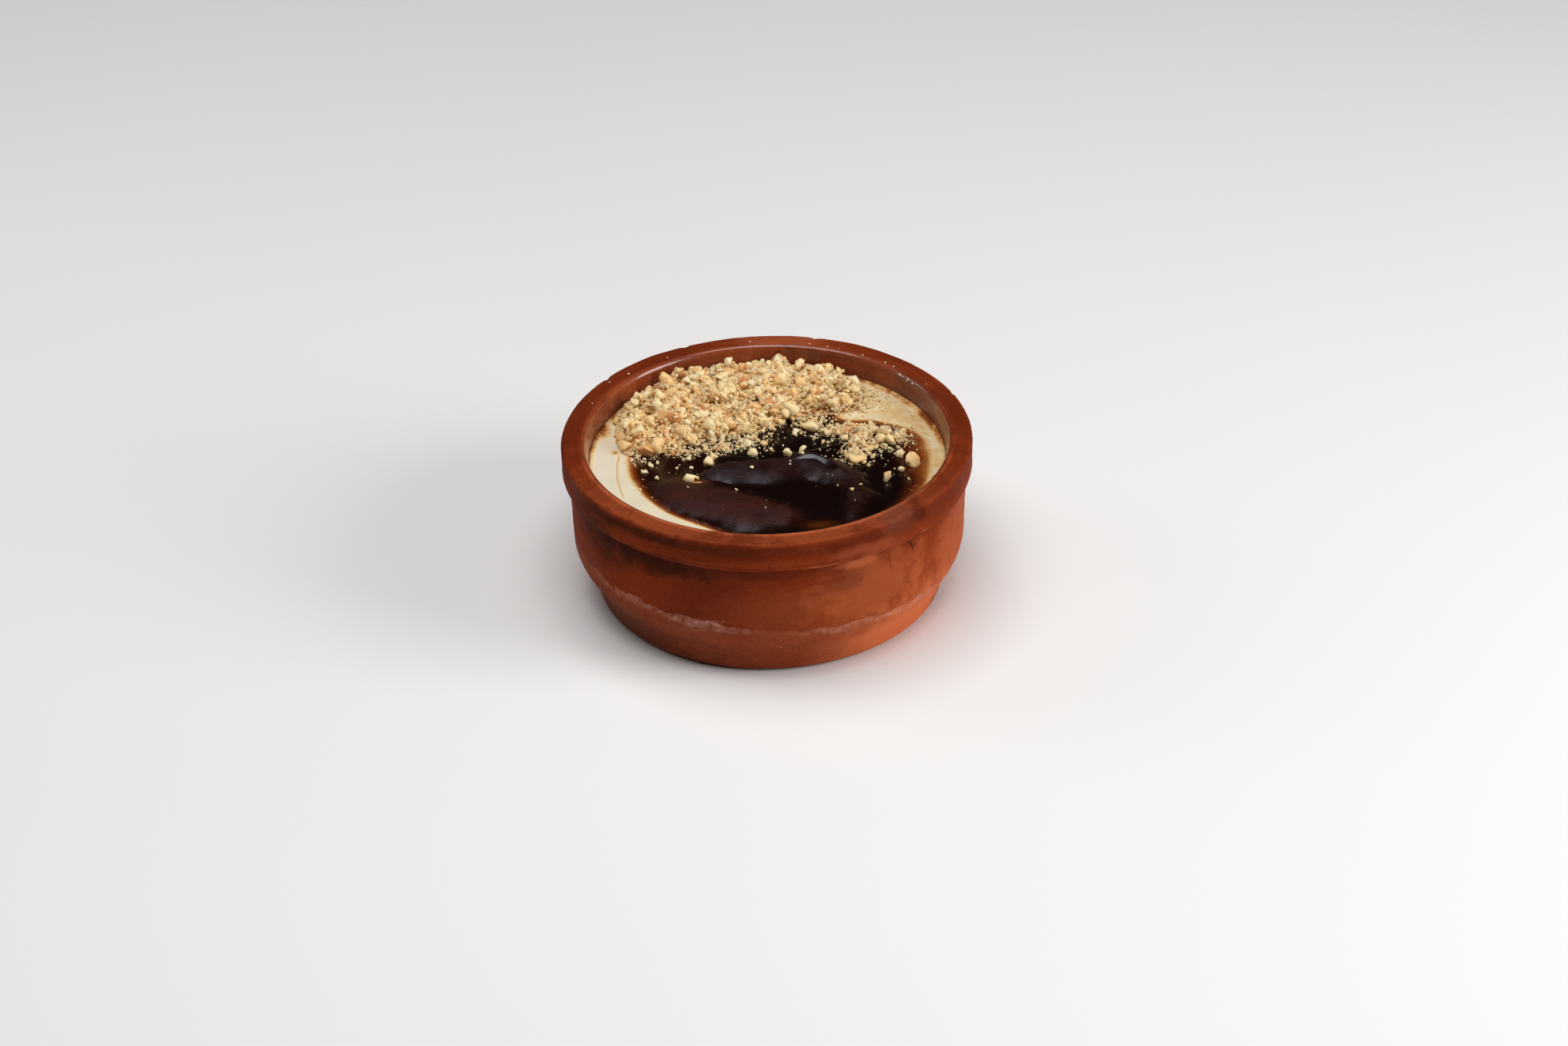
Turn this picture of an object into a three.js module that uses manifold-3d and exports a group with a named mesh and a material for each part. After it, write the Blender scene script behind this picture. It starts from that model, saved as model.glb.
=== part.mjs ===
// A baked rice pudding in a wheel-thrown earthenware bowl, topped with chopped hazelnuts.
// Millimetres, +Z up. The origin is the centre of the bowl's flat base and -Y is the front.
import * as THREE from "three";
import { ConvexGeometry } from "three/addons/geometries/ConvexGeometry.js";
import { mergeVertices } from "three/addons/utils/BufferGeometryUtils.js";
import Module from "manifold-3d";

const wasm = await Module();
wasm.setup();

// Turned shapes
const SIDES = 64; // flats round the bowl and the pudding
const CURVE_STEPS = 3; // chords in each rounded stretch of a profile
const GAP = 0.3; // clear space between neighbouring pieces
const MERGE_DISTANCE = 1e-3; // corners closer than this are one corner

// Bowl outside, from the base up
const BOWL_HEIGHT = 48.7;
const BASE_RADIUS = 47.4;
const FOOT_RADIUS = 51.2;
const FOOT_EDGE_HEIGHT = 2.9; // top of the rounded edge round the base
const FOOT_TOP_RADIUS = 53.5;
const FOOT_TOP_HEIGHT = 9.7; // where the trimmed foot meets the belly
const BELLY_RADIUS = 57.6;
const BELLY_HEIGHT = 19.2; // where the belly becomes the upright wall
const WALL_RADIUS = 58.2; // under the rim band
const RIM_RADIUS = 60;
const BAND_HEIGHT = 9.2; // thick band below the rim
const BAND_EDGE = 1.1; // rounding of the band's two edges

// Bowl inside
const RIM_INNER_RADIUS = 53;
const RIM_INNER_EDGE = 1.6; // rounding of the rim's inner edge
const CAVITY_RADIUS = 52; // at the pudding's edge
const CAVITY_LOW_RADIUS = 51.2; // where the wall begins to turn into the floor
const CAVITY_TURN_HEIGHT = 22;
const FLOOR_RADIUS = 37;
const FLOOR_THICKNESS = 7.5;

// Pudding
const PUDDING_DEPTH_BELOW_RIM = 7.3;
const PUDDING_LEVEL = BOWL_HEIGHT - PUDDING_DEPTH_BELOW_RIM;
const RING_STEP = 2.1; // between rings of the pudding's top
const RELIEF_RADIUS = 43; // the relief and its fine rings end here
const OUTER_RING_RADIUS = 47;

// Folds of the baked skin: points of each crest from above, with its rise there and its reach behind and ahead.
// Behind is the left-hand side along the crest, ahead the right-hand side.
const TONGUE = [
  [-19, -12, 1, 2.6, 5.5], [-12.5, -7.2, 2.1, 3.2, 11.5], [0, -6, 2.3, 3.2, 12.5], [11.5, -3.8, 2.4, 3.6, 12.5],
  [17.5, -6.5, 2.3, 4.2, 12], [22, -11.5, 2, 4.2, 9], [25, -18, 1.7, 4.2, 7], [26, -25, 1.4, 4, 6.5],
  [22.5, -34, 0.9, 4, 5],
];
const LOBE = [
  [-37, -10, 0.3, 9, 9], [-31, -17, 1.3, 10, 12], [-23, -22, 2, 11, 13], [-13, -27, 2.3, 11, 14],
  [-3, -31.5, 2.3, 10, 13.5], [4, -33, 1.8, 8, 12], [8, -34, 0.6, 4, 8],
];
const FOLDS = [TONGUE, LOBE];
const FOLD_PUFF = 2; // 1 is a round dome, higher runs out more gently
const CREST_SAMPLES = 48;

// Chopped hazelnuts
const SEED = 7311;
const NUT_CORNERS = 9;
const NUT_UNEVENNESS = 0.28; // how far a corner may be drawn in
const NUT_WIDTH_SHARE = 0.8; // of a piece's length
const NUT_HEIGHT_SHARE = 0.66;
const NUT_TILT = 0.5; // most, in radians
const NUT_SINK_SHARE = 0.14; // of a piece's length, how deep its middle lies in what it is fused to

// Nut pieces that lie apart on the skin: place and length
const LOOSE_NUTS = [
  [13, 14.2, 5.2], [5.8, -0.1, 3.6], [10.2, 1.6, 3.6], [-4.1, 0.7, 3], [-17.1, -4.6, 3.8], [-22.6, -13.6, 3],
  [-34.1, -4.5, 2.2], [-32.1, -12.7, 2], [42.2, -6.6, 5.8], [34.1, -15.4, 5.2], [38.8, -10, 2.2], [39, -2, 3.2],
];
// Middle line of the thinner drift at the right, and of its tail towards the front
const DRIFTS = [
  { line: [[18, 11], [25, 12.5], [32, 11], [38.5, 8]], pieces: 19 },
  { line: [[27, 8.5], [27, 3], [25.5, -3]], pieces: 9 },
];
const DRIFT_SPREAD = 2.6;
const DRIFT_NUT = { least: 2.4, most: 4.6 };

// Heap of nuts at the back: its outline from above, and its middle
const HEAP_OUTLINE = [
  [-38, 0.5], [-30, 3], [-22, 6.5], [-13, 9.5], [-6, 11.5], [1, 13.5], [8, 18], [14, 21], [21, 22],
  [27, 27], [27.5, 34], [21, 44], [8, 49.5], [-8, 49.5], [-24, 44], [-36, 35], [-43, 25], [-45, 14], [-43, 4.5],
];
const HEAP_MIDDLE = new THREE.Vector2(-9, 27);
const HEAP_SIDES = 40;
const HEAP_OUTLINE_STEPS = 160;
const HEAP_RINGS = [1, 0.92, 0.74, 0.5, 0.25]; // share of the way from the middle to the outline
const HEAP_EDGE_HEIGHT = 0.7; // of the core at its outline
const HEAP_FRONT_HEIGHT = 1.9; // of the core behind its front edge
const HEAP_BACK_HEIGHT = 4.1; // of the core by the back wall
const HEAP_BACK_Y = 44;
const HEAP_STEEPNESS = 4; // how late the core falls to its edge: higher is flatter on top
const HEAP_NUT = { least: 3, most: 5.4 };
const HEAP_NUT_STEP = 4.3; // between rows of nut pieces
const HEAP_NUT_SCATTER = 1.3; // off the rows
const HEAP_CLEARANCE = 3; // between the heap's outline and a piece that lies apart

// Looks
const EARTHENWARE = { color: 0x8c4a30, roughness: 0.75 };
const BAKED_SKIN = { color: 0x2c1710, roughness: 0.4 };
const HAZELNUT = { color: 0xd8b588, roughness: 0.7 };

const random = seededRandom(SEED);

function seededRandom(seed) {
  let state = seed;
  return () => {
    state = (state + 0x6d2b79f5) | 0;
    let mixed = Math.imul(state ^ (state >>> 15), 1 | state);
    mixed = (mixed + Math.imul(mixed ^ (mixed >>> 7), 61 | mixed)) ^ mixed;
    return ((mixed ^ (mixed >>> 14)) >>> 0) / 2 ** 32;
  };
}

const between = (low, high) => low + (high - low) * random();

// Turning, joining and cutting

function turned(points, sides) {
  return new THREE.LatheGeometry(points, sides).rotateX(Math.PI / 2);
}

function solidOf(geometry) {
  geometry.deleteAttribute("normal");
  geometry.deleteAttribute("uv");
  const merged = mergeVertices(geometry, MERGE_DISTANCE);
  const vertProperties = merged.attributes.position.array;
  const triVerts = new Uint32Array(merged.index.array);
  return new wasm.Manifold(new wasm.Mesh({ numProp: 3, vertProperties, triVerts }));
}

// The largest closed surface of a solid, without loose scraps or sealed hollows.
function outerBody(solid) {
  return solid.decompose().reduce((best, body) => (body.volume() > best.volume() ? body : best));
}

function geometryOf(solid) {
  const mesh = solid.getMesh();
  const geometry = new THREE.BufferGeometry();
  geometry.setAttribute("position", new THREE.BufferAttribute(mesh.vertProperties, 3));
  geometry.setIndex(new THREE.BufferAttribute(mesh.triVerts, 1));
  geometry.computeVertexNormals();
  return geometry;
}

// Bowl

// Adds the bowl's inside to a profile that stands at its top, down to the axis.
function addCavity(path, inset) {
  const floor = FLOOR_THICKNESS + inset;
  path.lineTo(CAVITY_RADIUS - inset, PUDDING_LEVEL);
  path.lineTo(CAVITY_LOW_RADIUS - inset, CAVITY_TURN_HEIGHT);
  path.quadraticCurveTo(CAVITY_LOW_RADIUS - inset, floor, FLOOR_RADIUS, floor);
  path.lineTo(0, floor);
}

function bowlGeometry() {
  const bandFoot = BOWL_HEIGHT - BAND_HEIGHT;
  const path = new THREE.Path();
  path.moveTo(0, 0);
  path.lineTo(BASE_RADIUS, 0);
  path.quadraticCurveTo(FOOT_RADIUS, 0, FOOT_RADIUS, FOOT_EDGE_HEIGHT);
  path.lineTo(FOOT_TOP_RADIUS, FOOT_TOP_HEIGHT);
  path.quadraticCurveTo(BELLY_RADIUS, (FOOT_TOP_HEIGHT + BELLY_HEIGHT) / 2, BELLY_RADIUS, BELLY_HEIGHT);
  path.lineTo(WALL_RADIUS, bandFoot);
  path.lineTo(RIM_RADIUS - BAND_EDGE, bandFoot);
  path.quadraticCurveTo(RIM_RADIUS, bandFoot, RIM_RADIUS, bandFoot + BAND_EDGE);
  path.lineTo(RIM_RADIUS, BOWL_HEIGHT - BAND_EDGE);
  path.quadraticCurveTo(RIM_RADIUS, BOWL_HEIGHT, RIM_RADIUS - BAND_EDGE, BOWL_HEIGHT);
  path.lineTo(RIM_INNER_RADIUS + RIM_INNER_EDGE, BOWL_HEIGHT);
  path.quadraticCurveTo(RIM_INNER_RADIUS, BOWL_HEIGHT, RIM_INNER_RADIUS, BOWL_HEIGHT - RIM_INNER_EDGE);
  addCavity(path, 0);
  return turned(path.getPoints(CURVE_STEPS), SIDES);
}

// Pudding

const flatCurve = (places) => new THREE.SplineCurve(places.map(([x, y]) => new THREE.Vector2(x, y)));
const crestPoints = new Map(FOLDS.map((fold) => [fold, flatCurve(fold).getPoints(CREST_SAMPLES)]));

// Rise and reaches of a fold at a share of the way along its crest.
function foldForm(fold, share) {
  const step = share * (fold.length - 1);
  const before = Math.min(Math.floor(step), fold.length - 2);
  const [rise, behind, ahead] = [2, 3, 4].map((column) =>
    THREE.MathUtils.lerp(fold[before][column], fold[before + 1][column], step - before),
  );
  return { rise, behind, ahead };
}

// Height that one fold of the skin adds at a place seen from above.
function foldHeight(fold, x, y) {
  const points = crestPoints.get(fold);
  let nearest = Infinity;
  let side = 0;
  let passed = 0;
  for (let i = 0; i < CREST_SAMPLES; i++) {
    const from = points[i];
    const along = points[i + 1].clone().sub(from);
    const toPlace = new THREE.Vector2(x, y).sub(from);
    const share = THREE.MathUtils.clamp(toPlace.dot(along) / along.lengthSq(), 0, 1);
    const distance = toPlace.clone().addScaledVector(along, -share).length();
    if (distance < nearest) {
      nearest = distance;
      side = along.cross(toPlace);
      passed = (i + share) / CREST_SAMPLES;
    }
  }
  const { rise, behind, ahead } = foldForm(fold, passed);
  const reach = side > 0 ? behind : ahead;
  return nearest < reach ? rise * (1 - (nearest / reach) ** 2) ** FOLD_PUFF : 0;
}

function skinHeight(x, y) {
  return PUDDING_LEVEL + Math.max(...FOLDS.map((fold) => foldHeight(fold, x, y)));
}

function puddingCore() {
  const path = new THREE.Path();
  path.moveTo(CAVITY_RADIUS - GAP, PUDDING_LEVEL);
  addCavity(path, GAP);
  const sideAndFloor = path.getPoints(CURVE_STEPS).reverse();
  const rings = [new THREE.Vector2(OUTER_RING_RADIUS, PUDDING_LEVEL)];
  const ringCount = Math.round(RELIEF_RADIUS / RING_STEP);
  for (let ring = ringCount; ring >= 0; ring--)
    rings.push(new THREE.Vector2((RELIEF_RADIUS * ring) / ringCount, PUDDING_LEVEL));
  const profile = [...sideAndFloor, ...rings];
  const geometry = turned(profile, SIDES);
  const position = geometry.attributes.position;
  for (let i = 0; i < position.count; i++) {
    const x = position.getX(i);
    const y = position.getY(i);
    const onTop = i % profile.length >= sideAndFloor.length;
    if (onTop && Math.hypot(x, y) < RELIEF_RADIUS) position.setZ(i, skinHeight(x, y));
  }
  return solidOf(geometry);
}

// Chopped nuts

// One angular nut piece with its middle at a place.
function nutPiece(length, x, y, z) {
  const half = new THREE.Vector3(1, NUT_WIDTH_SHARE, NUT_HEIGHT_SHARE).multiplyScalar(length / 2);
  const goldenAngle = Math.PI * (3 - Math.sqrt(5));
  const corners = [];
  for (let i = 0; i < NUT_CORNERS; i++) {
    const polar = Math.acos(1 - (2 * i + 1) / NUT_CORNERS);
    const drawnIn = 1 - NUT_UNEVENNESS * random();
    const corner = new THREE.Vector3().setFromSphericalCoords(drawnIn, polar, i * goldenAngle);
    corners.push(corner.multiply(half));
  }
  const geometry = new ConvexGeometry(corners);
  const tilt = new THREE.Euler(between(-NUT_TILT, NUT_TILT), between(-NUT_TILT, NUT_TILT), between(0, 2 * Math.PI), "ZYX");
  geometry.applyMatrix4(new THREE.Matrix4().makeRotationFromEuler(tilt));
  return solidOf(geometry.translate(x, y, z));
}

function nutOnSkin(length, x, y) {
  const middle = length * (NUT_HEIGHT_SHARE / 2 - NUT_SINK_SHARE);
  return nutPiece(length, x, y, skinHeight(x, y) + middle);
}

function outlinePoints(corners, count) {
  const spline = new THREE.CatmullRomCurve3(
    corners.map(([x, y]) => new THREE.Vector3(x, y, 0)),
    true,
  );
  return spline.getSpacedPoints(count).slice(0, count);
}

const heapOutline = outlinePoints(HEAP_OUTLINE, HEAP_OUTLINE_STEPS);

// How far a place is from the heap's middle, as a share of the way to its outline.
function heapShare(x, y) {
  const arm = new THREE.Vector2(x, y).sub(HEAP_MIDDLE);
  return arm.length() / heapReach(arm.angle());
}

// How far a place lies outside the heap's outline, along the line to the heap's middle.
function outsideHeap(x, y) {
  const arm = new THREE.Vector2(x, y).sub(HEAP_MIDDLE);
  return arm.length() - heapReach(arm.angle());
}

// From the heap's middle to its outline in one direction.
function heapReach(angle) {
  let closest = null;
  let least = Infinity;
  for (const point of heapOutline) {
    const arm = new THREE.Vector2(point.x, point.y).sub(HEAP_MIDDLE);
    const turn = Math.abs(Math.atan2(Math.sin(arm.angle() - angle), Math.cos(arm.angle() - angle)));
    if (turn < least) {
      least = turn;
      closest = arm;
    }
  }
  return closest.length();
}

// Top of the heap's core above the pudding.
function heapHeight(share, y) {
  const back = THREE.MathUtils.smoothstep(y, 0, HEAP_BACK_Y);
  const full = THREE.MathUtils.lerp(HEAP_FRONT_HEIGHT, HEAP_BACK_HEIGHT, back);
  return THREE.MathUtils.lerp(full, HEAP_EDGE_HEIGHT, Math.min(share, 1) ** HEAP_STEEPNESS);
}

function pieceOnHeap(x, y) {
  const length = between(HEAP_NUT.least, HEAP_NUT.most);
  const middle = length * (NUT_HEIGHT_SHARE / 2 - NUT_SINK_SHARE);
  return nutPiece(length, x, y, PUDDING_LEVEL + heapHeight(heapShare(x, y), y) + middle);
}

function puddingGeometry() {
  const nuts = LOOSE_NUTS.map(([x, y, length]) => nutOnSkin(length, x, y));
  for (const drift of DRIFTS) {
    const line = flatCurve(drift.line);
    for (let i = 0; i < drift.pieces; i++) {
      const place = line.getPoint((i + 0.5) / drift.pieces);
      const x = place.x + between(-DRIFT_SPREAD, DRIFT_SPREAD);
      const y = place.y + between(-DRIFT_SPREAD, DRIFT_SPREAD);
      const length = between(DRIFT_NUT.least, DRIFT_NUT.most);
      if (outsideHeap(x, y) > HEAP_CLEARANCE + length / 2) nuts.push(nutOnSkin(length, x, y));
    }
  }
  return geometryOf(outerBody(wasm.Manifold.union([puddingCore(), ...nuts])));
}

// Heap

// A mound on a flat underside, turned round the heap's middle and drawn out to its outline.
function heapCore() {
  const underside = PUDDING_LEVEL + GAP;
  const top = HEAP_RINGS.map((ring) => new THREE.Vector2(ring, 1));
  const profile = [new THREE.Vector2(0, 0), new THREE.Vector2(1, 0), ...top, new THREE.Vector2(0, 1)];
  const geometry = turned(profile, HEAP_SIDES);
  const position = geometry.attributes.position;
  for (let i = 0; i < position.count; i++) {
    const arm = new THREE.Vector2(position.getX(i), position.getY(i));
    const share = arm.length();
    const reach = heapReach(arm.angle());
    arm.multiplyScalar(reach).add(HEAP_MIDDLE);
    const z = position.getZ(i) > 0 ? PUDDING_LEVEL + heapHeight(share, arm.y) : underside;
    position.setXYZ(i, arm.x, arm.y, z);
  }
  return solidOf(geometry);
}

// The space above the pudding and inside the bowl that the heap may fill.
function heapSpace() {
  const underside = PUDDING_LEVEL + GAP;
  const radius = CAVITY_RADIUS - GAP;
  const profile = [[0, underside], [radius, underside], [radius, BOWL_HEIGHT], [0, BOWL_HEIGHT]];
  return solidOf(turned(profile.map(([r, z]) => new THREE.Vector2(r, z)), SIDES));
}

function heapGeometry() {
  const nuts = [];
  const rowHeight = HEAP_NUT_STEP * Math.sin(Math.PI / 3);
  const rows = Math.ceil(RIM_RADIUS / rowHeight);
  const columns = Math.ceil(RIM_RADIUS / HEAP_NUT_STEP);
  for (let row = -rows; row <= rows; row++)
    for (let column = -columns; column <= columns; column++) {
      const x = (column + (row % 2) / 2) * HEAP_NUT_STEP + between(-1, 1) * HEAP_NUT_SCATTER;
      const y = row * rowHeight + between(-1, 1) * HEAP_NUT_SCATTER;
      if (heapShare(x, y) < 1) nuts.push(pieceOnHeap(x, y));
    }
  const heap = wasm.Manifold.union([heapCore(), ...nuts]).intersect(heapSpace());
  return geometryOf(outerBody(heap));
}

// Scene graph

function piece(name, geometry, look) {
  const mesh = new THREE.Mesh(geometry, new THREE.MeshStandardMaterial(look));
  mesh.name = name;
  return mesh;
}

const dessert = new THREE.Group();
dessert.add(piece("bowl", bowlGeometry(), EARTHENWARE));
dessert.add(piece("pudding", puddingGeometry(), BAKED_SKIN));
dessert.add(piece("hazelnut_heap", heapGeometry(), HAZELNUT));

export default dessert;
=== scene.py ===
"""A baked rice pudding with chopped hazelnuts in an earthenware bowl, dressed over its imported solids."""

import math

import bpy
import numpy as np
from mathutils import Matrix, Vector


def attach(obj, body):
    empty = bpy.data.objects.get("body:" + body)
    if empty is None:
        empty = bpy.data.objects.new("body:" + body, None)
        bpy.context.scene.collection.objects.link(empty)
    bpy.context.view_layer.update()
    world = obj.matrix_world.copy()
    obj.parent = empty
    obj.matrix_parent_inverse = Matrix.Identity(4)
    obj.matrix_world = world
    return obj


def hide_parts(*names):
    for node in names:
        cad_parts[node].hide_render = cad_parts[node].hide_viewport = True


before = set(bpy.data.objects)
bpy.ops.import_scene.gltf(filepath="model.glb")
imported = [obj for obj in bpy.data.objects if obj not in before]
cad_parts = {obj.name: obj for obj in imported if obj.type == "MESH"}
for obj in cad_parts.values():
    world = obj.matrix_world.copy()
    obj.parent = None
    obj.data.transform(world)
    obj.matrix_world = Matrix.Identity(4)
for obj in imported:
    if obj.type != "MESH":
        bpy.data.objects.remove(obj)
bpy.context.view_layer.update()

# Sizes are in millimetres, as in the solids, and MM turns them into metres.
MM = 0.001
SEED = 7311
random = np.random.default_rng(SEED)

# Bowl, from the base up and then down the inside
BOWL_HEIGHT = 48.7
BASE_RADIUS = 47.4
FOOT_RADIUS = 51.2
FOOT_EDGE_HEIGHT = 2.9
FOOT_TOP_RADIUS = 53.5
FOOT_TOP_HEIGHT = 9.7
BELLY_RADIUS = 57.6
BELLY_HEIGHT = 19.2
WALL_RADIUS = 58.2
RIM_RADIUS = 60
BAND_HEIGHT = 9.2
BAND_EDGE = 1.1
RIM_INNER_RADIUS = 53
RIM_INNER_EDGE = 1.6
CAVITY_RADIUS = 52
CAVITY_LOW_RADIUS = 51.2
CAVITY_TURN_HEIGHT = 22
FLOOR_RADIUS = 37
FLOOR_THICKNESS = 7.5
BOWL_SIDES = 384
PROFILE_STEP = 0.75  # between rings of the turned wall
CAVITY_STEP = 6  # between rings below the pudding's level
WALL_STEP = 1.5  # between rings of the plain wall
CURVE_STEPS = 7
BELLY_STEPS = 12
GROOVE_SIZE = 0.6  # height of the round groove under the band
GROOVE_WIDTH = 0.5
GROOVE_STEPS = 3
SMOOTH_EDGE = 0.8  # no wheel marks this near the base and the top
TURNING_MARK = 0.07  # height of the wheel's marks on the foot and the band
GLAZE_EDGE = RIM_INNER_RADIUS + 0.7 * RIM_INNER_EDGE  # where the bare clay of the rim starts
ROUGH_ABOVE = 1.5  # the clay is uneven above this height

# Unevenness of the clay: name, size and depth
CLAY_UNEVEN = [("hand_thrown", 22, 0.5), ("rough_clay", 2.5, 0.12)]

# Pudding
PUDDING_LEVEL = BOWL_HEIGHT - 7.3
PUDDING_SIDES = 512
PUDDING_RINGS = 150
WALL_CONTACT = 0.06  # left between the pudding and the glaze
MENISCUS = 0.7  # how far the pudding climbs the wall
MENISCUS_REACH = 1.6
SKIN_THICKNESS = 0.15
LEVEL_BY_WALL = 4  # the folds fade out this far from the wall

# Unevenness of the top: its height, the number of waves, and their shortest and longest length
SKIN_WAVES = dict(rise=0.12, count=7, least=9, most=20)
CREAM_LUMPS = dict(rise=0.16, count=9, least=2, most=4.5)

# Folds of the baked skin: points of each crest from above, with its rise and its reach behind and ahead there
TONGUE = [
    (-19, -12, 1.0, 2.6, 5.5), (-12.5, -7.2, 2.1, 3.2, 11.5), (0, -6, 2.3, 3.2, 12.5),
    (11.5, -3.8, 2.4, 3.6, 12.5), (17.5, -6.5, 2.3, 4.6, 12), (22, -11.5, 2.0, 5.4, 9),
    (25, -18, 1.7, 6.2, 7), (26, -25, 1.4, 6.4, 6.5), (23.5, -33, 0.9, 6.2, 5.5),
    (20.5, -39, 0.15, 6, 5.5),
]
LOBE = [
    (-37, -10, 0.1, 11, 9), (-31, -17, 1.0, 13, 12), (-23, -22, 1.9, 13, 13), (-13, -27, 2.3, 12, 14),
    (-3, -31.5, 2.3, 10, 13.5), (4, -33, 1.6, 9, 12), (9, -34.5, 0.7, 8, 10), (14, -35.5, 0.1, 7, 8),
]
PUFF = 2.0  # power by which a fold falls off from its crest
FOLD_WAVER = 0.4  # how far the folds' edges waver

# Smaller creases on the skin, raised or sunk
CREASES = [
    dict(line=[(5, 0.5), (12, 1.5), (21, 5.5)], rise=0.25, reach=1.2),
    dict(line=[(7, -4.9), (12, -4.1), (15.5, -5.6), (19, -9), (21.5, -13)], rise=0.6, reach=1.7),
    dict(line=[(21.5, -17), (22.5, -23), (21, -29), (20.5, -34)], rise=0.4, reach=1.6),
    dict(line=[(7, -26), (8.2, -32), (8.5, -40)], rise=-0.5, reach=2.2),
]

# Line along the tongue's crest where it shines most, how far it is glossy, and how far it shines
CREST_SHINE = [(8.5, -6.2), (12, -5.4), (15.5, -7), (19, -10.4)]
GLOSS_REACH = 2.2
SHINE_REACH = 1.6

# Heights of a fold between which its finish turns from glossy to satin
TONGUE_SATIN = (0.0, 1.5)
LOBE_SATIN = (0.15, 1.6)

# Soft bumps on the skin: middle, half sizes and rise
BUMPS = [
    (-12.5, -9.5, 2.4, 3.2, 0.3), (-5, -9, 3, 2.4, -0.2), (2, -10, 3, 3, 0.15), (14, -12, 4, 2.4, 0.25),
    (8, -8, 3, 2.4, -0.2), (-26, -24, 4, 3, 0.15), (-8, -36, 4, 3.4, 0.3), (2, -36, 2.6, 4, 0.2),
    (30, -6, 6, 5, 0.2), (20.1, -12.6, 2.6, 2.2, 0.7), (22.1, -22.6, 1.8, 2.6, 0.5),
    (23.2, -33.4, 2.4, 2.4, 0.25),
]

# Outline of the dark skin from above: each place, how far the skin takes to darken inside it, and how far
# it takes to fade into the cream outside it
SKIN_OUTLINE = [
    (-39.3, 3, 4, 3), (-39.8, -4.2, 4, 2.6), (-39.3, -9.7, 3.6, 2.2), (-37.5, -15, 3, 1.8),
    (-35.4, -20.3, 2.4, 1.4), (-32.5, -25.2, 2.2, 1.1), (-28.8, -29.7, 2, 1), (-24.4, -33.5, 1.8, 1),
    (-19, -37.4, 1.8, 1), (-11.4, -42.5, 2, 1), (0, -46, 2.5, 1.2), (12.2, -45.6, 4, 1.6),
    (24, -42, 5, 1.8), (31.2, -37.4, 4, 2), (37.6, -31.4, 4.5, 2.4), (42, -24.2, 5.5, 3),
    (45, -16.3, 7, 3.6), (46.2, -8, 10, 4.4), (46.4, 0, 11, 4.8), (45.2, 7.8, 10, 4),
    (40.2, 14.6, 6, 3), (32, 18.4, 4, 2.6), (23, 20, 3, 2.4), (15, 27, 3, 2.5), (-2, 34, 3, 2.5),
    (-20, 30, 3, 2.5), (-34, 18, 3, 2.5),
]
CRACK = [(-43.2, 4.5), (-43.9, -3), (-43.7, -10), (-42.8, -16), (-41.4, -22)]
CRACK_WIDTH = 0.32
CRACK_DEPTH = 0.12

# Thin places in the skin, where it glows amber, and places where the cream has caught, one of them also a
# painted shadow:
# middle, half sizes and strength
THIN_PLACES = [(-20.6, -14.8, 3, 1.2, 1.0), (15, -38.6, 4.5, 1.8, 0.5)]
CAUGHT_AND_SHADOW_PLACES = [
    # The place by the big golden nut is partly caramel and partly a painted shadow under the nut
    (-49, 18.5, 3.6, 6.5, 1.25), (-46, 26, 3.4, 5, 1), (-44.6, 4.4, 1.4, 1.8, 1), (33, 36, 7, 3, 0.5),
    (22, 22.5, 6, 2, 0.6), (27, 42, 5, 3, 0.6),
]

# Single nuts on the skin and on top of the heap: place from above, length, and tone from pale to brown
LOOSE_NUTS = [
    (13, 14.2, 5.3, 0.3), (8.7, 12.9, 2.3, 0.2), (17.7, 10.2, 4.1, 0.3), (5.8, -0.1, 3.6, 0.3),
    (10.2, 1.6, 3.2, 0.35), (-0.7, 5.8, 2.3, 0.5), (25.8, -3.6, 5.5, 0.45), (23.9, -2.8, 2.8, 0.3),
    (27.5, 6.7, 3.7, 0.35), (30.9, 10.4, 3.7, 0.25), (27.1, 12.8, 3.7, 0.4), (36.1, 5.6, 3.8, 0.25),
    (39, -2, 3.2, 0.3), (42.2, -6.6, 5.2, 0.42), (34.1, -15.4, 4.8, 0.3), (38.8, -10, 2.2, 0.3),
    (23.1, 7.7, 3.2, 0.3), (33.4, 6.5, 3.7, 0.3), (38.5, 7.7, 2.8, 0.2), (-17.1, -4.6, 4.6, 0.35),
    (-4.1, 0.7, 3.2, 0.25), (-34.1, -4.5, 2, 0.3), (-35.9, -8.1, 1.8, 0.2), (-32.1, -12.7, 1.9, 0.2),
    (-22.6, -13.6, 3.7, 0.3), (-20.5, -13, 1.8, 0.5), (-22.1, -6.6, 1.8, 0.2), (-23, -1.3, 2, 0.2),
    (-36.9, -17.2, 0.9, 0.1), (-33.3, -22.4, 0.7, 0.1), (-9.2, -19.4, 1, 0.2), (-15.6, -0.9, 2.8, 0.3),
    (-5.8, 6.1, 2.8, 0.25), (-41.6, 6.2, 5.6, 0.44), (-42.6, 9.2, 4.8, 0.5), (-38.6, 5, 4.1, 0.4),
    (-35.6, 1.8, 5.3, 0.54),
]
TOP_NUTS = [
    (-29.8, 39.4, 5.6, 0.5), (-25, 40.5, 3.4, 0.78), (-6.7, 46, 4, 0.6), (-1.7, 45.6, 3.2, 0.35),
    (4.5, 44.9, 4, 0.3), (10.6, 45.4, 4.2, 0.3), (18.3, 41.1, 3.2, 0.4), (-3.3, 23.6, 3.2, 1),
    (0.9, 22.4, 4.2, 0.74), (1.9, 19.6, 4.2, 0.56), (19.9, 27, 4.8, 0.55), (22.9, 24.6, 3.8, 0.5),
    (-3.6, 35.8, 5.4, 0.1), (-6.8, 36, 4.4, 0.72), (-16.3, 44, 3.6, 0.4), (-35.3, 34, 3.6, 0.45),
]

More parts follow.
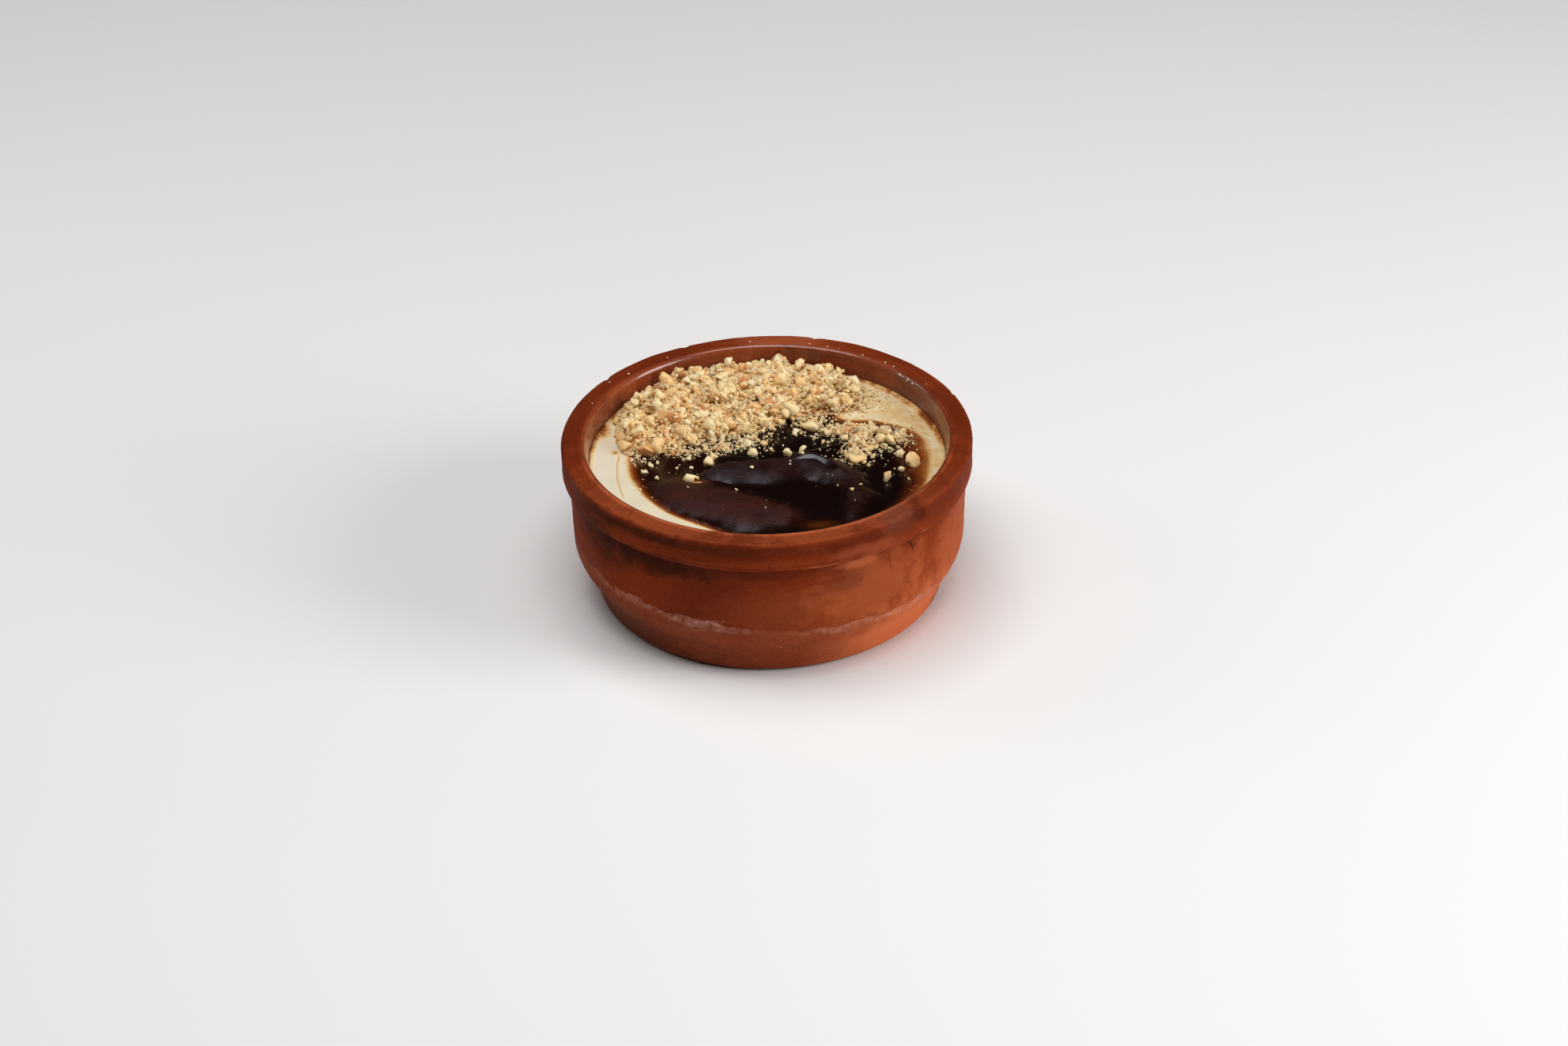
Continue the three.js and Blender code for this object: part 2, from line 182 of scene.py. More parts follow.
# Kinds of chopped nut: how finely the kernel is divided, its flat breaks, how much it is shaken and rounded,
# seeds of its shapes, share of pale pieces, and the angle in degrees past which an edge is sharp
NUT_KINDS = {
    "chunks": dict(divided=2, breaks=3, shake=0.26, rounding=0.5, seeds=range(11, 25), pale=0.7, sharp=85),
    "grains": dict(divided=1, breaks=2, shake=0.4, rounding=0.0, seeds=range(31, 41), pale=0.78, sharp=60),
    "dust": dict(divided=1, breaks=1, shake=0.2, rounding=0.0, seeds=range(51, 57), pale=0.95, sharp=60),
}
KERNEL_RADIUS = 0.56
BREAK_DEPTHS = (0.18, 0.4)
KERNEL_WIDTHS = (0.75, 0.95)
KERNEL_HEIGHTS = (0.6, 0.85)
BREAK_FACING = 0.9  # a face that looks this much along a break belongs to it

# Tones of pale, toasted and brown pieces, from lightest to darkest,
# and the share of brown among the darker ones
TONES_LIGHTEST = np.array([0.16, 0.4, 0.56])
TONES_DARKEST = np.array([0.44, 0.54, 0.78])
BROWN_SHARE = 0.18
SKINNED_SHARE = 0.1  # of the pieces keep some brown skin
SKIN_LEFT = (0.4, 0.9)

# Pieces laid: how many, and their shortest, usual and longest length
HEAP_LAYERS = [(110, (2.0, 3.3, 4.6)), (155, (2.0, 3.3, 5.2)), (180, (2.0, 3.3, 6.0))]
LAYER_GRAINS = (450, (1.0, 1.5, 2.4))
HOLLOW_GRAINS = [(1000, (0.9, 1.3, 2.2)), (650, (0.9, 1.3, 2.2))]
# Fewer pale pieces among the grains laid in the gaps: painted shade in the gaps
HOLLOW_PALE = 0.62
TOP_GRAINS = (300, (0.7, 1.0, 1.8))
SKIN_GRAINS = (420, (0.7, 0.9, 2.2))
HEAP_DUST = (1400, (0.25, 0.4, 0.8))
SKIN_DUST = (3200, (0.18, 0.28, 1.0))
CLEAR_SHARE = 0.42  # of a single nut's length, kept free round its middle

# Places on the skin where dust lies thickly: middle, half sizes and strength
DUSTY_PLACES = [
    (-13, 5.5, 5, 3, 0.55), (-4, 8, 4, 3, 0.5), (13, 17.5, 4, 3, 0.5), (32, 5, 6, 4, 0.25),
    (-22, 3, 5, 2.5, 0.4),
]

# Dust that has landed on the rim
RIM_SPECK_LENGTHS = (0.3, 0.7)
RIM_SPECK_TONE = 0.1
RIM_SPECKS = [
    (39.8, 34), (40.4, 33.4), (41.1, 32.2), (42.1, 29.5), (43.7, 28), (42.6, 30.6), (19.1, 51.6),
    (22.4, 50.3), (13.7, 53.6), (-46.6, 33.2), (-41, 37.9), (-29.6, 47.2), (29.6, 45.9), (36.2, 41),
    (47.9, 27.5), (-51.5, 20.8), (38.6, 38.5), (-4.5, 55.8),
]

# Drifts of nut off the heap: the line that each follows and how many larger pieces lie along it
DRIFTS = [
    dict(line=[(18, 11), (25, 12.5), (32, 11), (38.5, 8)], chunks=16),
    dict(line=[(28, 9.5), (27.5, 4), (25.5, -3)], chunks=12),
]
DRIFT_HEIGHT = 3.5  # tops of the pieces off the heap, over the pudding's level
DRIFT_UNDER = dict(spread=2.4, shortest=2.0, longest=4.2)
DRIFT_OVER = dict(spread=1.6, shortest=1.6, longest=3.2)

# How thickly bits lie off the heap, and the distance over which that falls off
FRONT_BITS = (0.9, 2.2)
FAR_BITS = (0.012, 14)
DRIFT_BITS = (0.5, 3.2)
ROUND_DRIFT_BITS = (0.03, 6)
BARE_FRONT = (3, 7, 0.75)  # few bits at the heap's front: place, half width and the share missing
BARE_LEFT = (-42, -34)  # no bits on the cream left of this

# Fields from which places are drawn, how many are drawn for each one kept, and what stays free by the wall
HEAP_FIELD_X, HEAP_FIELD_Y = (-47, 30), (-1, 51)
HEAP_TRIES = 4
HEAP_OFF_WALL = 0.4
HOLLOWS_OFF_WALL = 1.5
SKIN_FIELD_X, SKIN_FIELD_Y = (-46, 46), (-34, 46)
SKIN_TRIES = 40
SKIN_BITS_OFF_WALL = 2.5
PIECE_OFF_WALL = 0.05

# Heap: its outline from above, its middle, and heights over the pudding's level
HEAP_OUTLINE = [
    (-38, 0.5), (-30, 3.2), (-22, 7.5), (-13, 10.5), (-6, 13.2), (1, 16.4), (8, 20), (13, 24.2),
    (17, 24.6), (21, 22.4), (27, 27), (27.5, 34), (22, 45), (8, 51), (-9, 51), (-25.5, 45),
    (-37.5, 35.5), (-43.5, 25.5), (-45, 14), (-43, 4.5),
]
HEAP_MIDDLE = (-9, 27)
HEAP_REACH = 27  # from its middle to its outline, about
HEAP_BELOW_RIM = 0.8  # tops of its pieces, under the rim
HEAP_EDGE_HEIGHT = 0.7
HEAP_FRONT_HEIGHT = 1.9
HEAP_BACK_HEIGHT = 4.1
HEAP_BACK_Y = 44
HEAP_STEEPNESS = 7  # power by which the heap falls off towards its outline
CORE_BELOW_HEAP = 1.6  # how far the core lies under the tops of the heap's first layer
CORE_SHARE = 0.97  # of the way to the heap's outline
CORE_SIDES = 120
CORE_RINGS = 26
CORE_WAVES = dict(rise=0.25, count=9, least=2.2, most=5)
# The core shows only in the gaps between the nuts, so its toasted tone and darkening are painted shade of the
# gaps
CORE_TONE = 0.6
CORE_SHADE = (0.74, 0.58, 0.42, 1)
NUT_SHADE = (1, 0.95, 0.9, 1)

# Camera, as it stood for the photograph
CAMERA_PLACE = (0, -891.5, 578.2)
CAMERA_PITCH = 32.13
CAMERA_YAW = 0.287
CAMERA_ROLL = -1.247
CAMERA_FOCAL_PIXELS = 4500
PHOTO_WIDTH_PIXELS = 1984
SENSOR_WIDTH = 36

# Lamps: name, place in metres, width and height, and power
SOFTBOXES = [
    ("softbox_above", (-0.08, -0.1, 1.1), (1.0, 0.8), 10.2),
    ("softbox_right", (0.95, -0.3, 0.4), (0.5, 0.7), 9.0),
    ("softbox_left", (-1.0, 0.3, 0.5), (0.4, 0.6), 1.8),
]
FILL_COLOUR = (1, 1, 1, 1)
FILL_LIGHT = 0.02
BACKDROP_COLOUR = (0.8, 0.79, 0.78, 1)
BACKDROP_LIGHT = 0.75
FLOOR_SIZE = 8
FLOOR_COLOURS = ((0.82, 0.81, 0.80, 1), (0.87, 0.865, 0.855, 1))


# Stage

def make_camera():
    data = bpy.data.cameras.new("camera")
    data.sensor_width = SENSOR_WIDTH
    data.lens = SENSOR_WIDTH * CAMERA_FOCAL_PIXELS / PHOTO_WIDTH_PIXELS
    camera = bpy.data.objects.new("camera", data)
    bpy.context.collection.objects.link(camera)
    turn = Matrix.Rotation(math.radians(-CAMERA_YAW), 4, "Z")
    tilt = Matrix.Rotation(math.radians(90 - CAMERA_PITCH), 4, "X")
    roll = Matrix.Rotation(math.radians(CAMERA_ROLL), 4, "Z")
    camera.matrix_world = Matrix.Translation(Vector(CAMERA_PLACE) * MM) @ turn @ tilt @ roll
    bpy.context.scene.camera = camera


def make_softbox(name, place, size, power):
    """A rectangular lamp at a place in metres, turned towards the bowl."""
    data = bpy.data.lights.new(name, "AREA")
    data.shape = "RECTANGLE"
    data.size, data.size_y = size
    data.energy = power
    lamp = bpy.data.objects.new(name, data)
    bpy.context.collection.objects.link(lamp)
    lamp.location = place
    aim = Vector((0, 0, BOWL_HEIGHT / 2 * MM)) - lamp.location
    lamp.rotation_euler = aim.to_track_quat("-Z", "Y").to_euler()


def make_stage():
    make_camera()
    for name, place, size, power in SOFTBOXES:
        make_softbox(name, place, size, power)
    world = bpy.data.worlds.new("studio")
    bpy.context.scene.world = world
    world.use_nodes = True
    nodes = Nodes(world.node_tree)
    dim = nodes.add("Background", {"Color": FILL_COLOUR, "Strength": FILL_LIGHT})
    pale = nodes.add("Background", {"Color": BACKDROP_COLOUR, "Strength": BACKDROP_LIGHT})
    seen = nodes.add("LightPath").outputs["Is Camera Ray"]
    both = nodes.add("MixShader", {0: seen, 1: dim.outputs[0], 2: pale.outputs[0]})
    nodes.put(world.node_tree.nodes["World Output"].inputs["Surface"], both.outputs[0])
    bpy.ops.mesh.primitive_plane_add(size=FLOOR_SIZE)
    floor = bpy.context.object
    floor.name = "floor"
    floor.data.materials.append(floor_material())
    bpy.context.scene.view_settings.view_transform = "Standard"


# Node helpers

class Nodes:
    """Short ways to add and join the nodes of one tree."""

    def __init__(self, tree):
        self.tree = tree

    def put(self, socket, value):
        if isinstance(value, bpy.types.NodeSocket):
            self.tree.links.new(value, socket)
        else:
            socket.default_value = value

    def add(self, kind, inputs=None, **settings):
        made = self.tree.nodes.new("ShaderNode" + kind)
        for name, value in settings.items():
            setattr(made, name, value)
        for name, value in (inputs or {}).items():
            self.put(made.inputs[name], value)
        return made

    def place(self):
        return self.add("TexCoord").outputs["Object"]

    def scaled(self, vector, scale):
        return self.add("Mapping", {"Vector": vector, "Scale": scale}).outputs[0]

    def noise(self, vector, scale, detail=2.0, roughness=0.5):
        inputs = {"Vector": vector, "Scale": scale, "Detail": detail, "Roughness": roughness}
        return self.add("TexNoise", inputs).outputs["Fac"]

    def spots(self, vector, scale):
        inputs = {"Vector": vector, "Scale": scale}
        return self.add("TexVoronoi", inputs).outputs["Distance"]

    def math(self, operation, first, second):
        return self.add("Math", {0: first, 1: second}, operation=operation).outputs[0]

    def plus(self, first, second):
        return self.math("ADD", first, second)

    def minus(self, first, second):
        return self.math("SUBTRACT", first, second)

    def times(self, first, second):
        return self.math("MULTIPLY", first, second)

    def greater(self, first, second):
        return self.math("MAXIMUM", first, second)

    def swing(self, value, width):
        """A value round a half as one round nothing, so many times as wide."""
        return self.times(self.minus(value, 0.5), width)

    def stripe(self, value, start, end):
        """1 between two soft edges and 0 outside them, each edge given as where it begins and ends."""
        return self.times(self.fade(value, *start), self.fade(value, *end, 1.0, 0.0))

    def vectors(self, operation, first, second, output="Vector"):
        return self.add("VectorMath", {0: first, 1: second}, operation=operation).outputs[output]

    def length(self, vector):
        return self.add("VectorMath", {0: vector}, operation="LENGTH").outputs["Value"]

    def fade(self, value, low, high, at_low=0.0, at_high=1.0):
        inputs = {"Value": value, "From Min": low, "From Max": high, "To Min": at_low, "To Max": at_high}
        return self.add("MapRange", inputs, interpolation_type="SMOOTHSTEP").outputs["Result"]

    def mix(self, share, first, second, blend="MIX"):
        made = self.add("Mix", data_type="RGBA", blend_type=blend)
        self.put(made.inputs[0], share)
        self.put(made.inputs[6], first)
        self.put(made.inputs[7], second)
        return made.outputs[2]

    def ramp(self, value, stops):
        made = self.add("ValToRGB", {"Fac": value})
        elements = made.color_ramp.elements
        while len(elements) < len(stops):
            elements.new(0.5)
        for element, (position, colour) in zip(elements, stops):
            element.position = position
            element.color = colour
        return made.outputs["Color"]

    def bump(self, height, strength, distance):
        inputs = {"Height": height, "Strength": strength, "Distance": distance}
        return self.add("Bump", inputs).outputs["Normal"]

    def attribute(self, name):
        return self.add("Attribute", attribute_name=name).outputs["Fac"]

    def group(self, tree, inputs):
        made = self.add("Group", node_tree=tree)
        for name, value in inputs.items():
            self.put(made.inputs[name], value)
        return made


def srgb(red, green, blue):
    """A colour given as it looks on a screen, 0 to 255, as a linear colour."""
    def linear(value):
        value /= 255
        return value / 12.92 if value <= 0.04045 else ((value + 0.055) / 1.055) ** 2.4
    return (linear(red), linear(green), linear(blue), 1.0)


def new_material(name, **sockets):
    """A material with a Principled shader, its plain sockets set, and its nodes."""
    material = bpy.data.materials.new(name)
    material.use_nodes = True
    shader = material.node_tree.nodes["Principled BSDF"]
    for socket, value in sockets.items():
        shader.inputs[socket.replace("_", " ")].default_value = value
    return material, shader, Nodes(material.node_tree)


# Shared effects

def new_group(name, inputs, output):
    """A shader node group with named inputs and one value out: its tree, nodes, inputs and output."""
    tree = bpy.data.node_groups.new(name, "ShaderNodeTree")
    for socket, kind in inputs.items():
        tree.interface.new_socket(socket, in_out="INPUT", socket_type="NodeSocket" + kind)
    tree.interface.new_socket(output, in_out="OUTPUT", socket_type="NodeSocketFloat")
    given = tree.nodes.new("NodeGroupInput").outputs
    shown = tree.nodes.new("NodeGroupOutput").inputs[output]
    return tree, Nodes(tree), given, shown


def stain_group():
    """A soft-edged patch round a place, ragged by noise: 1 inside and 0 outside."""
    inputs = {"Vector": "Vector", "Centre": "Vector", "Reach": "Vector", "Ragged": "Float"}
    tree, nodes, given, shown = new_group("stain", inputs, "Mask")
    offset = nodes.vectors("SUBTRACT", given["Vector"], given["Centre"])
    length = nodes.length(nodes.vectors("DIVIDE", offset, given["Reach"]))
    frayed = nodes.noise(given["Vector"], scale=160.0, detail=5.0, roughness=0.65)
    ragged = nodes.swing(frayed, given["Ragged"])
    nodes.put(shown, nodes.fade(nodes.plus(length, ragged), 0.25, 1.0, 1.0, 0.0))
    return tree


def scratch_group():
    """A thin, slightly ragged line between two places: 1 on it and 0 off it."""
    inputs = {"Vector": "Vector", "Start": "Vector", "End": "Vector", "Width": "Float"}
    tree, nodes, given, shown = new_group("scratch", inputs, "Mask")
    width = given["Width"]
    step = nodes.vectors("SUBTRACT", given["End"], given["Start"])
    offset = nodes.vectors("SUBTRACT", given["Vector"], given["Start"])
    along = nodes.vectors("DOT_PRODUCT", offset, step, "Value")
    along = nodes.math("DIVIDE", along, nodes.vectors("DOT_PRODUCT", step, step, "Value"))
    along = nodes.math("MINIMUM", nodes.greater(along, 0.0), 1.0)
    nearest = nodes.add("VectorMath", {0: step, "Scale": along}, operation="SCALE").outputs["Vector"]
    distance = nodes.vectors("DISTANCE", offset, nearest, "Value")
    ragged = nodes.times(nodes.noise(given["Vector"], scale=900.0, detail=3.0, roughness=0.6), width)
    nodes.put(shown, nodes.fade(nodes.plus(distance, ragged), nodes.times(width, 0.4), width, 1.0, 0.0))
    return tree


def grain_group():
    """Fine grain: a value round 0.5 that changes over fractions of a millimetre, for colour and relief."""
    tree, nodes, given, shown = new_group("fine_grain", {"Vector": "Vector", "Size": "Float"}, "Grain")
    coarse_scale = nodes.math("DIVIDE", 1.0, given["Size"])
    fine_scale = nodes.math("DIVIDE", 3.7, given["Size"])
    coarse = nodes.noise(given["Vector"], coarse_scale, detail=6.0, roughness=0.7)
    fine = nodes.noise(given["Vector"], fine_scale, detail=3.0, roughness=0.6)
    nodes.put(shown, nodes.times(nodes.plus(coarse, fine), 0.5))
    return tree


# Materials

def floor_material():
    material, shader, nodes = new_material("pale_floor", Roughness=0.85)
    cloud = nodes.noise(nodes.place(), scale=3.0)
    colour = nodes.mix(cloud, *FLOOR_COLOURS)
    nodes.put(shader.inputs["Base Color"], colour)
    return material


CLAY_DEEP = srgb(112, 37, 10)
CLAY_WARM = srgb(138, 53, 17)
CLAY_LIGHT = srgb(164, 74, 34)
CLAY_SALMON_PAINTED_LIGHT_AND_WEAR = srgb(200, 106, 64)
CLAY_DARK = srgb(88, 29, 9)
CLAY_OILED = srgb(96, 33, 10)
CLAY_SOOT_AND_SHADE = srgb(32, 10, 4)
CLAY_GREY = srgb(104, 64, 48)
CLAY_MAUVE = srgb(94, 48, 34)
CLAY_DUSTY = srgb(164, 84, 52)
CLAY_BLOOM = srgb(206, 150, 132)
CLAY_SPECK = srgb(232, 205, 188)
CLAY_PIT = srgb(38, 16, 10)

# Patches on the clay: middle and half sizes in metres, raggedness, strength and tint
CLAY_PATCHES = [
    # The salmon patches on the right side, the front of the belly and the foot are painted light: lighter
    # where the right lamp and light thrown up from below fall
    ((0.060, -0.015, 0.018), (0.04, 0.05, 0.028), 1.2, 0.4, CLAY_SALMON_PAINTED_LIGHT_AND_WEAR),
    ((0.038, -0.036, 0.006), (0.04, 0.03, 0.018), 0.6, 0.9, CLAY_SALMON_PAINTED_LIGHT_AND_WEAR),
    ((0.030, -0.050, 0.028), (0.03, 0.02, 0.016), 1.3, 0.35, CLAY_SALMON_PAINTED_LIGHT_AND_WEAR),
    ((0.004, -0.058, 0.024), (0.03, 0.02, 0.012), 1.0, 0.15, CLAY_SALMON_PAINTED_LIGHT_AND_WEAR),
    ((0.025, -0.0527, 0.0375), (0.011, 0.008, 0.0022), 0.9, 0.6, CLAY_SALMON_PAINTED_LIGHT_AND_WEAR),
    ((-0.05, -0.03, 0.006), (0.05, 0.04, 0.016), 0.8, 0.75, CLAY_MAUVE),
    # The soot patches on the left side and just under the band are partly soot and partly painted shade: the
    # less lit left side and the wall under the band's overhang darker
    ((-0.036, -0.047, 0.0365), (0.03, 0.022, 0.0060), 1.3, 0.75, CLAY_SOOT_AND_SHADE),
    ((-0.05, -0.033, 0.034), (0.022, 0.024, 0.010), 1.3, 0.6, CLAY_SOOT_AND_SHADE),
    ((-0.036, -0.048, 0.0462), (0.034, 0.02, 0.0028), 1.2, 0.6, CLAY_SOOT_AND_SHADE),
    ((-0.05, -0.034, 0.0435), (0.02, 0.02, 0.006), 1.2, 0.5, CLAY_SOOT_AND_SHADE),
    ((0.0, -0.06, 0.0458), (0.03, 0.012, 0.0024), 1.2, 0.2, CLAY_SOOT_AND_SHADE),
    ((0.002, -0.058, 0.0375), (0.018, 0.02, 0.003), 1.6, 0.25, CLAY_SOOT_AND_SHADE),
    ((0.021, -0.054, 0.0320), (0.008, 0.012, 0.005), 2.0, 0.3, CLAY_SOOT_AND_SHADE),
    ((0.024, -0.055, 0.0452), (0.022, 0.014, 0.0024), 1.3, 0.15, CLAY_SOOT_AND_SHADE),
    ((0.027, -0.053, 0.0425), (0.016, 0.014, 0.003), 1.4, 0.35, CLAY_DUSTY),
    ((0.037, -0.0450, 0.0475), (0.009, 0.008, 0.004), 2.6, 0.5, CLAY_GREY),
    ((0.0425, -0.040, 0.0465), (0.005, 0.006, 0.004), 2.4, 0.7, CLAY_SOOT_AND_SHADE),
    ((0.05, -0.03, 0.045), (0.03, 0.03, 0.008), 0.9, 0.6, CLAY_OILED),
    ((-0.058, 0.01, 0.0487), (0.02, 0.035, 0.006), 0.7, 0.7, CLAY_OILED),
    ((0.058, 0.012, 0.0487), (0.018, 0.028, 0.006), 0.7, 0.7, CLAY_OILED),
    ((-0.03, 0.047, 0.0487), (0.02, 0.02, 0.006), 0.7, 0.6, CLAY_OILED),
    ((0.006, 0.058, 0.048), (0.02, 0.014, 0.004), 1.2, 0.6, CLAY_DUSTY),
]

# Cracks and scratches in the clay: start, end, width, strength and tint
CLAY_SCRATCHES = [
    ((0.0392, -0.0429, 0.0384), (0.0404, -0.0417, 0.0360), 0.0014, 0.85, CLAY_SOOT_AND_SHADE),
    ((0.0404, -0.0417, 0.0360), (0.0409, -0.0411, 0.0338), 0.0011, 0.75, CLAY_SOOT_AND_SHADE),
    ((0.0404, -0.0417, 0.0360), (0.0417, -0.0405, 0.0355), 0.0009, 0.6, CLAY_SOOT_AND_SHADE),
    ((0.0336, -0.0472, 0.0365), (0.0343, -0.0468, 0.0320), 0.0009, 0.5, CLAY_SOOT_AND_SHADE),
    ((0.0548, -0.019, 0.0225), (0.0550, -0.0178, 0.0205), 0.0014, 0.7, CLAY_SOOT_AND_SHADE),
    ((-0.0298, -0.0521, 0.0441), (-0.0322, -0.0507, 0.0443), 0.0012, 0.6, CLAY_LIGHT),
    ((-0.012, -0.0588, 0.0472), (0.009, -0.0593, 0.0470), 0.0006, 0.5, CLAY_LIGHT),
    ((-0.026, -0.0541, 0.0425), (-0.006, -0.0597, 0.0421), 0.0006, 0.5, CLAY_LIGHT),
    ((0.008, -0.0594, 0.0436), (0.028, -0.0531, 0.0441), 0.0006, 0.5, CLAY_LIGHT),
    ((0.03, 0.0519, 0.0451), (0.012, 0.0588, 0.0447), 0.0008, 0.5, CLAY_LIGHT),
    ((-0.0585, 0.0133, 0.043), (-0.0578, 0.0161, 0.0408), 0.0012, 0.6, CLAY_SOOT_AND_SHADE),
]

# Stretches of the wavy line over the foot where salts have bloomed:
# middle, half sizes, raggedness and strength
BLOOM_PATCHES = [
    ((-0.021, -0.053, 0.019), (0.02, 0.016, 0.009), 1.0, 0.85),
    ((-0.040, -0.040, 0.0205), (0.018, 0.018, 0.007), 1.3, 0.5),
    ((0.022, -0.052, 0.0165), (0.022, 0.016, 0.007), 1.6, 0.45),
    ((0.043, -0.036, 0.0165), (0.018, 0.018, 0.007), 1.6, 0.6),
    ((-0.02, 0.05, 0.018), (0.03, 0.03, 0.007), 1.4, 0.6),
]

# Heights on the bowl in metres between which marks on the clay begin or end
FOOT_LINE = (0.0178, 0.0192)
WHEEL_FOOT = (0.016, 0.02)
WHEEL_BAND = (0.036, 0.041)
OILED_BAND = (0.0425, 0.0455)
OILED_EDGE = (0.0481, 0.0485)
RIM_TOP = (0.0482, 0.0486)
HIGHLIGHT_LIP_HEIGHT = (0.047, 0.048)
CORNER_HEIGHT = (0.0472, 0.0478)
SMUDGED_BAND = (0.041, 0.046)
# Heights between which the painted shadow under the band's overhang starts and ends
GROOVE_SHADE_START, GROOVE_SHADE_END = (0.0345, 0.0393), (0.0394, 0.0399)
WORN_START, WORN_END = (0.0395, 0.0399), (0.0402, 0.0409)
BLOOM_START, BLOOM_END = (0.0145, 0.0184), (0.0186, 0.0191)

# Distances from the bowl's middle in metres between which the lip's painted highlight ends and the outer
# corner begins
HIGHLIGHT_LIP_RADIUS = (0.0546, 0.0556)
CORNER_RADIUS = (0.0588, 0.0594)


def clay_material(stain, scratch, grain):
    """Unglazed terracotta: wheel streaks, soot and painted shade under the band, painted light on the right
    and the foot, pale bloom over the foot, specks and pits.
    """
    material, shader, nodes = new_material("terracotta", Specular_IOR_Level=0.05)
    place = nodes.place()
    parts = nodes.add("SeparateXYZ", {0: place}).outputs
    height = parts["Z"]

    def patch(centre, reach, ragged):
        inputs = {"Vector": place, "Centre": centre, "Reach": reach, "Ragged": ragged}
        return nodes.group(stain, inputs).outputs["Mask"]

    # Body of the clay, paler on the foot
    clouds = nodes.noise(place, scale=38.0, detail=4.0, roughness=0.6)
    smears = nodes.noise(nodes.scaled(place, (1, 1, 3)), scale=95.0, detail=5.0, roughness=0.65)
    colour = nodes.mix(nodes.fade(clouds, 0.3, 0.7), CLAY_DEEP, CLAY_WARM)
    foot_line = nodes.plus(height, nodes.swing(smears, 0.009))
    foot_line = nodes.plus(foot_line, nodes.times(parts["X"], 0.06))
    colour = nodes.mix(nodes.fade(foot_line, *FOOT_LINE, 0.5, 0.0), colour, CLAY_DUSTY)

    # Streaks of the wheel, strongest on the foot and the band, and grain
    radius = nodes.length(nodes.scaled(place, (1, 1, 0)))
    across = nodes.times(nodes.minus(radius, height), 850.0)
    round_x = nodes.times(nodes.math("DIVIDE", parts["X"], radius), 2.6)
    round_y = nodes.times(nodes.math("DIVIDE", parts["Y"], radius), 2.6)
    wheel_place = nodes.add("CombineXYZ", {0: round_x, 1: round_y, 2: across}).outputs[0]
    streaks = nodes.noise(wheel_place, scale=1.0, detail=5.0, roughness=0.7)
    on_wheel = nodes.plus(nodes.fade(height, *WHEEL_FOOT, 1.0, 0.0), nodes.fade(height, *WHEEL_BAND))
    on_wheel = nodes.plus(nodes.times(on_wheel, 0.6), 0.4)
    light = nodes.times(nodes.fade(streaks, 0.45, 0.72, 0.0, 0.4), on_wheel)
    colour = nodes.mix(light, colour, CLAY_LIGHT)
    dark = nodes.times(nodes.fade(streaks, 0.25, 0.42, 0.5, 0.0), on_wheel)
    colour = nodes.mix(dark, colour, CLAY_DARK)
    grains = nodes.group(grain, {"Vector": place, "Size": 0.0011}).outputs["Grain"]
    colour = nodes.mix(nodes.fade(grains, 0.44, 0.62, 0.0, 0.45), colour, CLAY_DARK)

    # Band and rim, oiled by use and worn at the corners, with a painted highlight on the front of the lip
    band = nodes.times(nodes.fade(height, *OILED_BAND), nodes.fade(height, *OILED_EDGE, 1.0, 0.35))
    band = nodes.times(band, nodes.fade(smears, 0.35, 0.65, 0.15, 0.75))
    colour = nodes.mix(band, colour, CLAY_OILED)
    rim_front = nodes.fade(parts["Y"], -0.045, -0.01, 0.35, 0.05)
    rim_front = nodes.times(nodes.fade(height, *RIM_TOP), rim_front)
    colour = nodes.mix(rim_front, colour, CLAY_DUSTY)
    # Painted highlight: the inner edge of the rim top lighter at the front, where it catches the light
    lip_highlight_front = nodes.fade(parts["Y"], -0.03, 0.0, 0.5, 0.1)
    lip = nodes.times(nodes.fade(radius, *HIGHLIGHT_LIP_RADIUS, 1.0, 0.0), lip_highlight_front)
    lip = nodes.times(lip, nodes.fade(height, *HIGHLIGHT_LIP_HEIGHT))
    colour = nodes.mix(lip, colour, CLAY_SALMON_PAINTED_LIGHT_AND_WEAR)
    corner = nodes.times(nodes.fade(radius, *CORNER_RADIUS), nodes.fade(height, *CORNER_HEIGHT))
    corner = nodes.times(corner, nodes.fade(smears, 0.4, 0.65, 0.0, 0.5))
    colour = nodes.mix(corner, colour, CLAY_LIGHT)
    smudges = nodes.noise(place, scale=75.0, detail=6.0, roughness=0.7)
    smudges = nodes.fade(smudges, 0.48, 0.64, 0.0, 0.7)
    smudges = nodes.times(smudges, nodes.fade(height, *SMUDGED_BAND, 0.25, 1.0))
    colour = nodes.mix(smudges, colour, CLAY_OILED)

    # Stains, painted light and shade, scratches, soot and painted shadow under the band, and its worn lower
    # edge
    for centre, reach, ragged, share, tint in CLAY_PATCHES:
        mask = nodes.times(patch(centre, reach, ragged), share)
        colour = nodes.mix(mask, colour, tint)
    for start, end, width, share, tint in CLAY_SCRATCHES:
        inputs = {"Vector": place, "Start": start, "End": end, "Width": width}
        mask = nodes.times(nodes.group(scratch, inputs).outputs["Mask"], share)
        colour = nodes.mix(mask, colour, tint)
    # Painted shadow: a dark stripe just under the band's overhang
    groove = nodes.stripe(height, GROOVE_SHADE_START, GROOVE_SHADE_END)
    groove = nodes.times(groove, nodes.fade(smears, 0.3, 0.7, 0.05, 0.45))
    colour = nodes.mix(groove, colour, CLAY_SOOT_AND_SHADE)
    worn = nodes.stripe(height, WORN_START, WORN_END)
    worn = nodes.times(worn, nodes.fade(smears, 0.48, 0.66, 0.0, 0.6))
    worn = nodes.times(worn, nodes.fade(parts["X"], -0.012, 0.004, 0.15, 1.0))
    colour = nodes.mix(worn, colour, CLAY_SALMON_PAINTED_LIGHT_AND_WEAR)

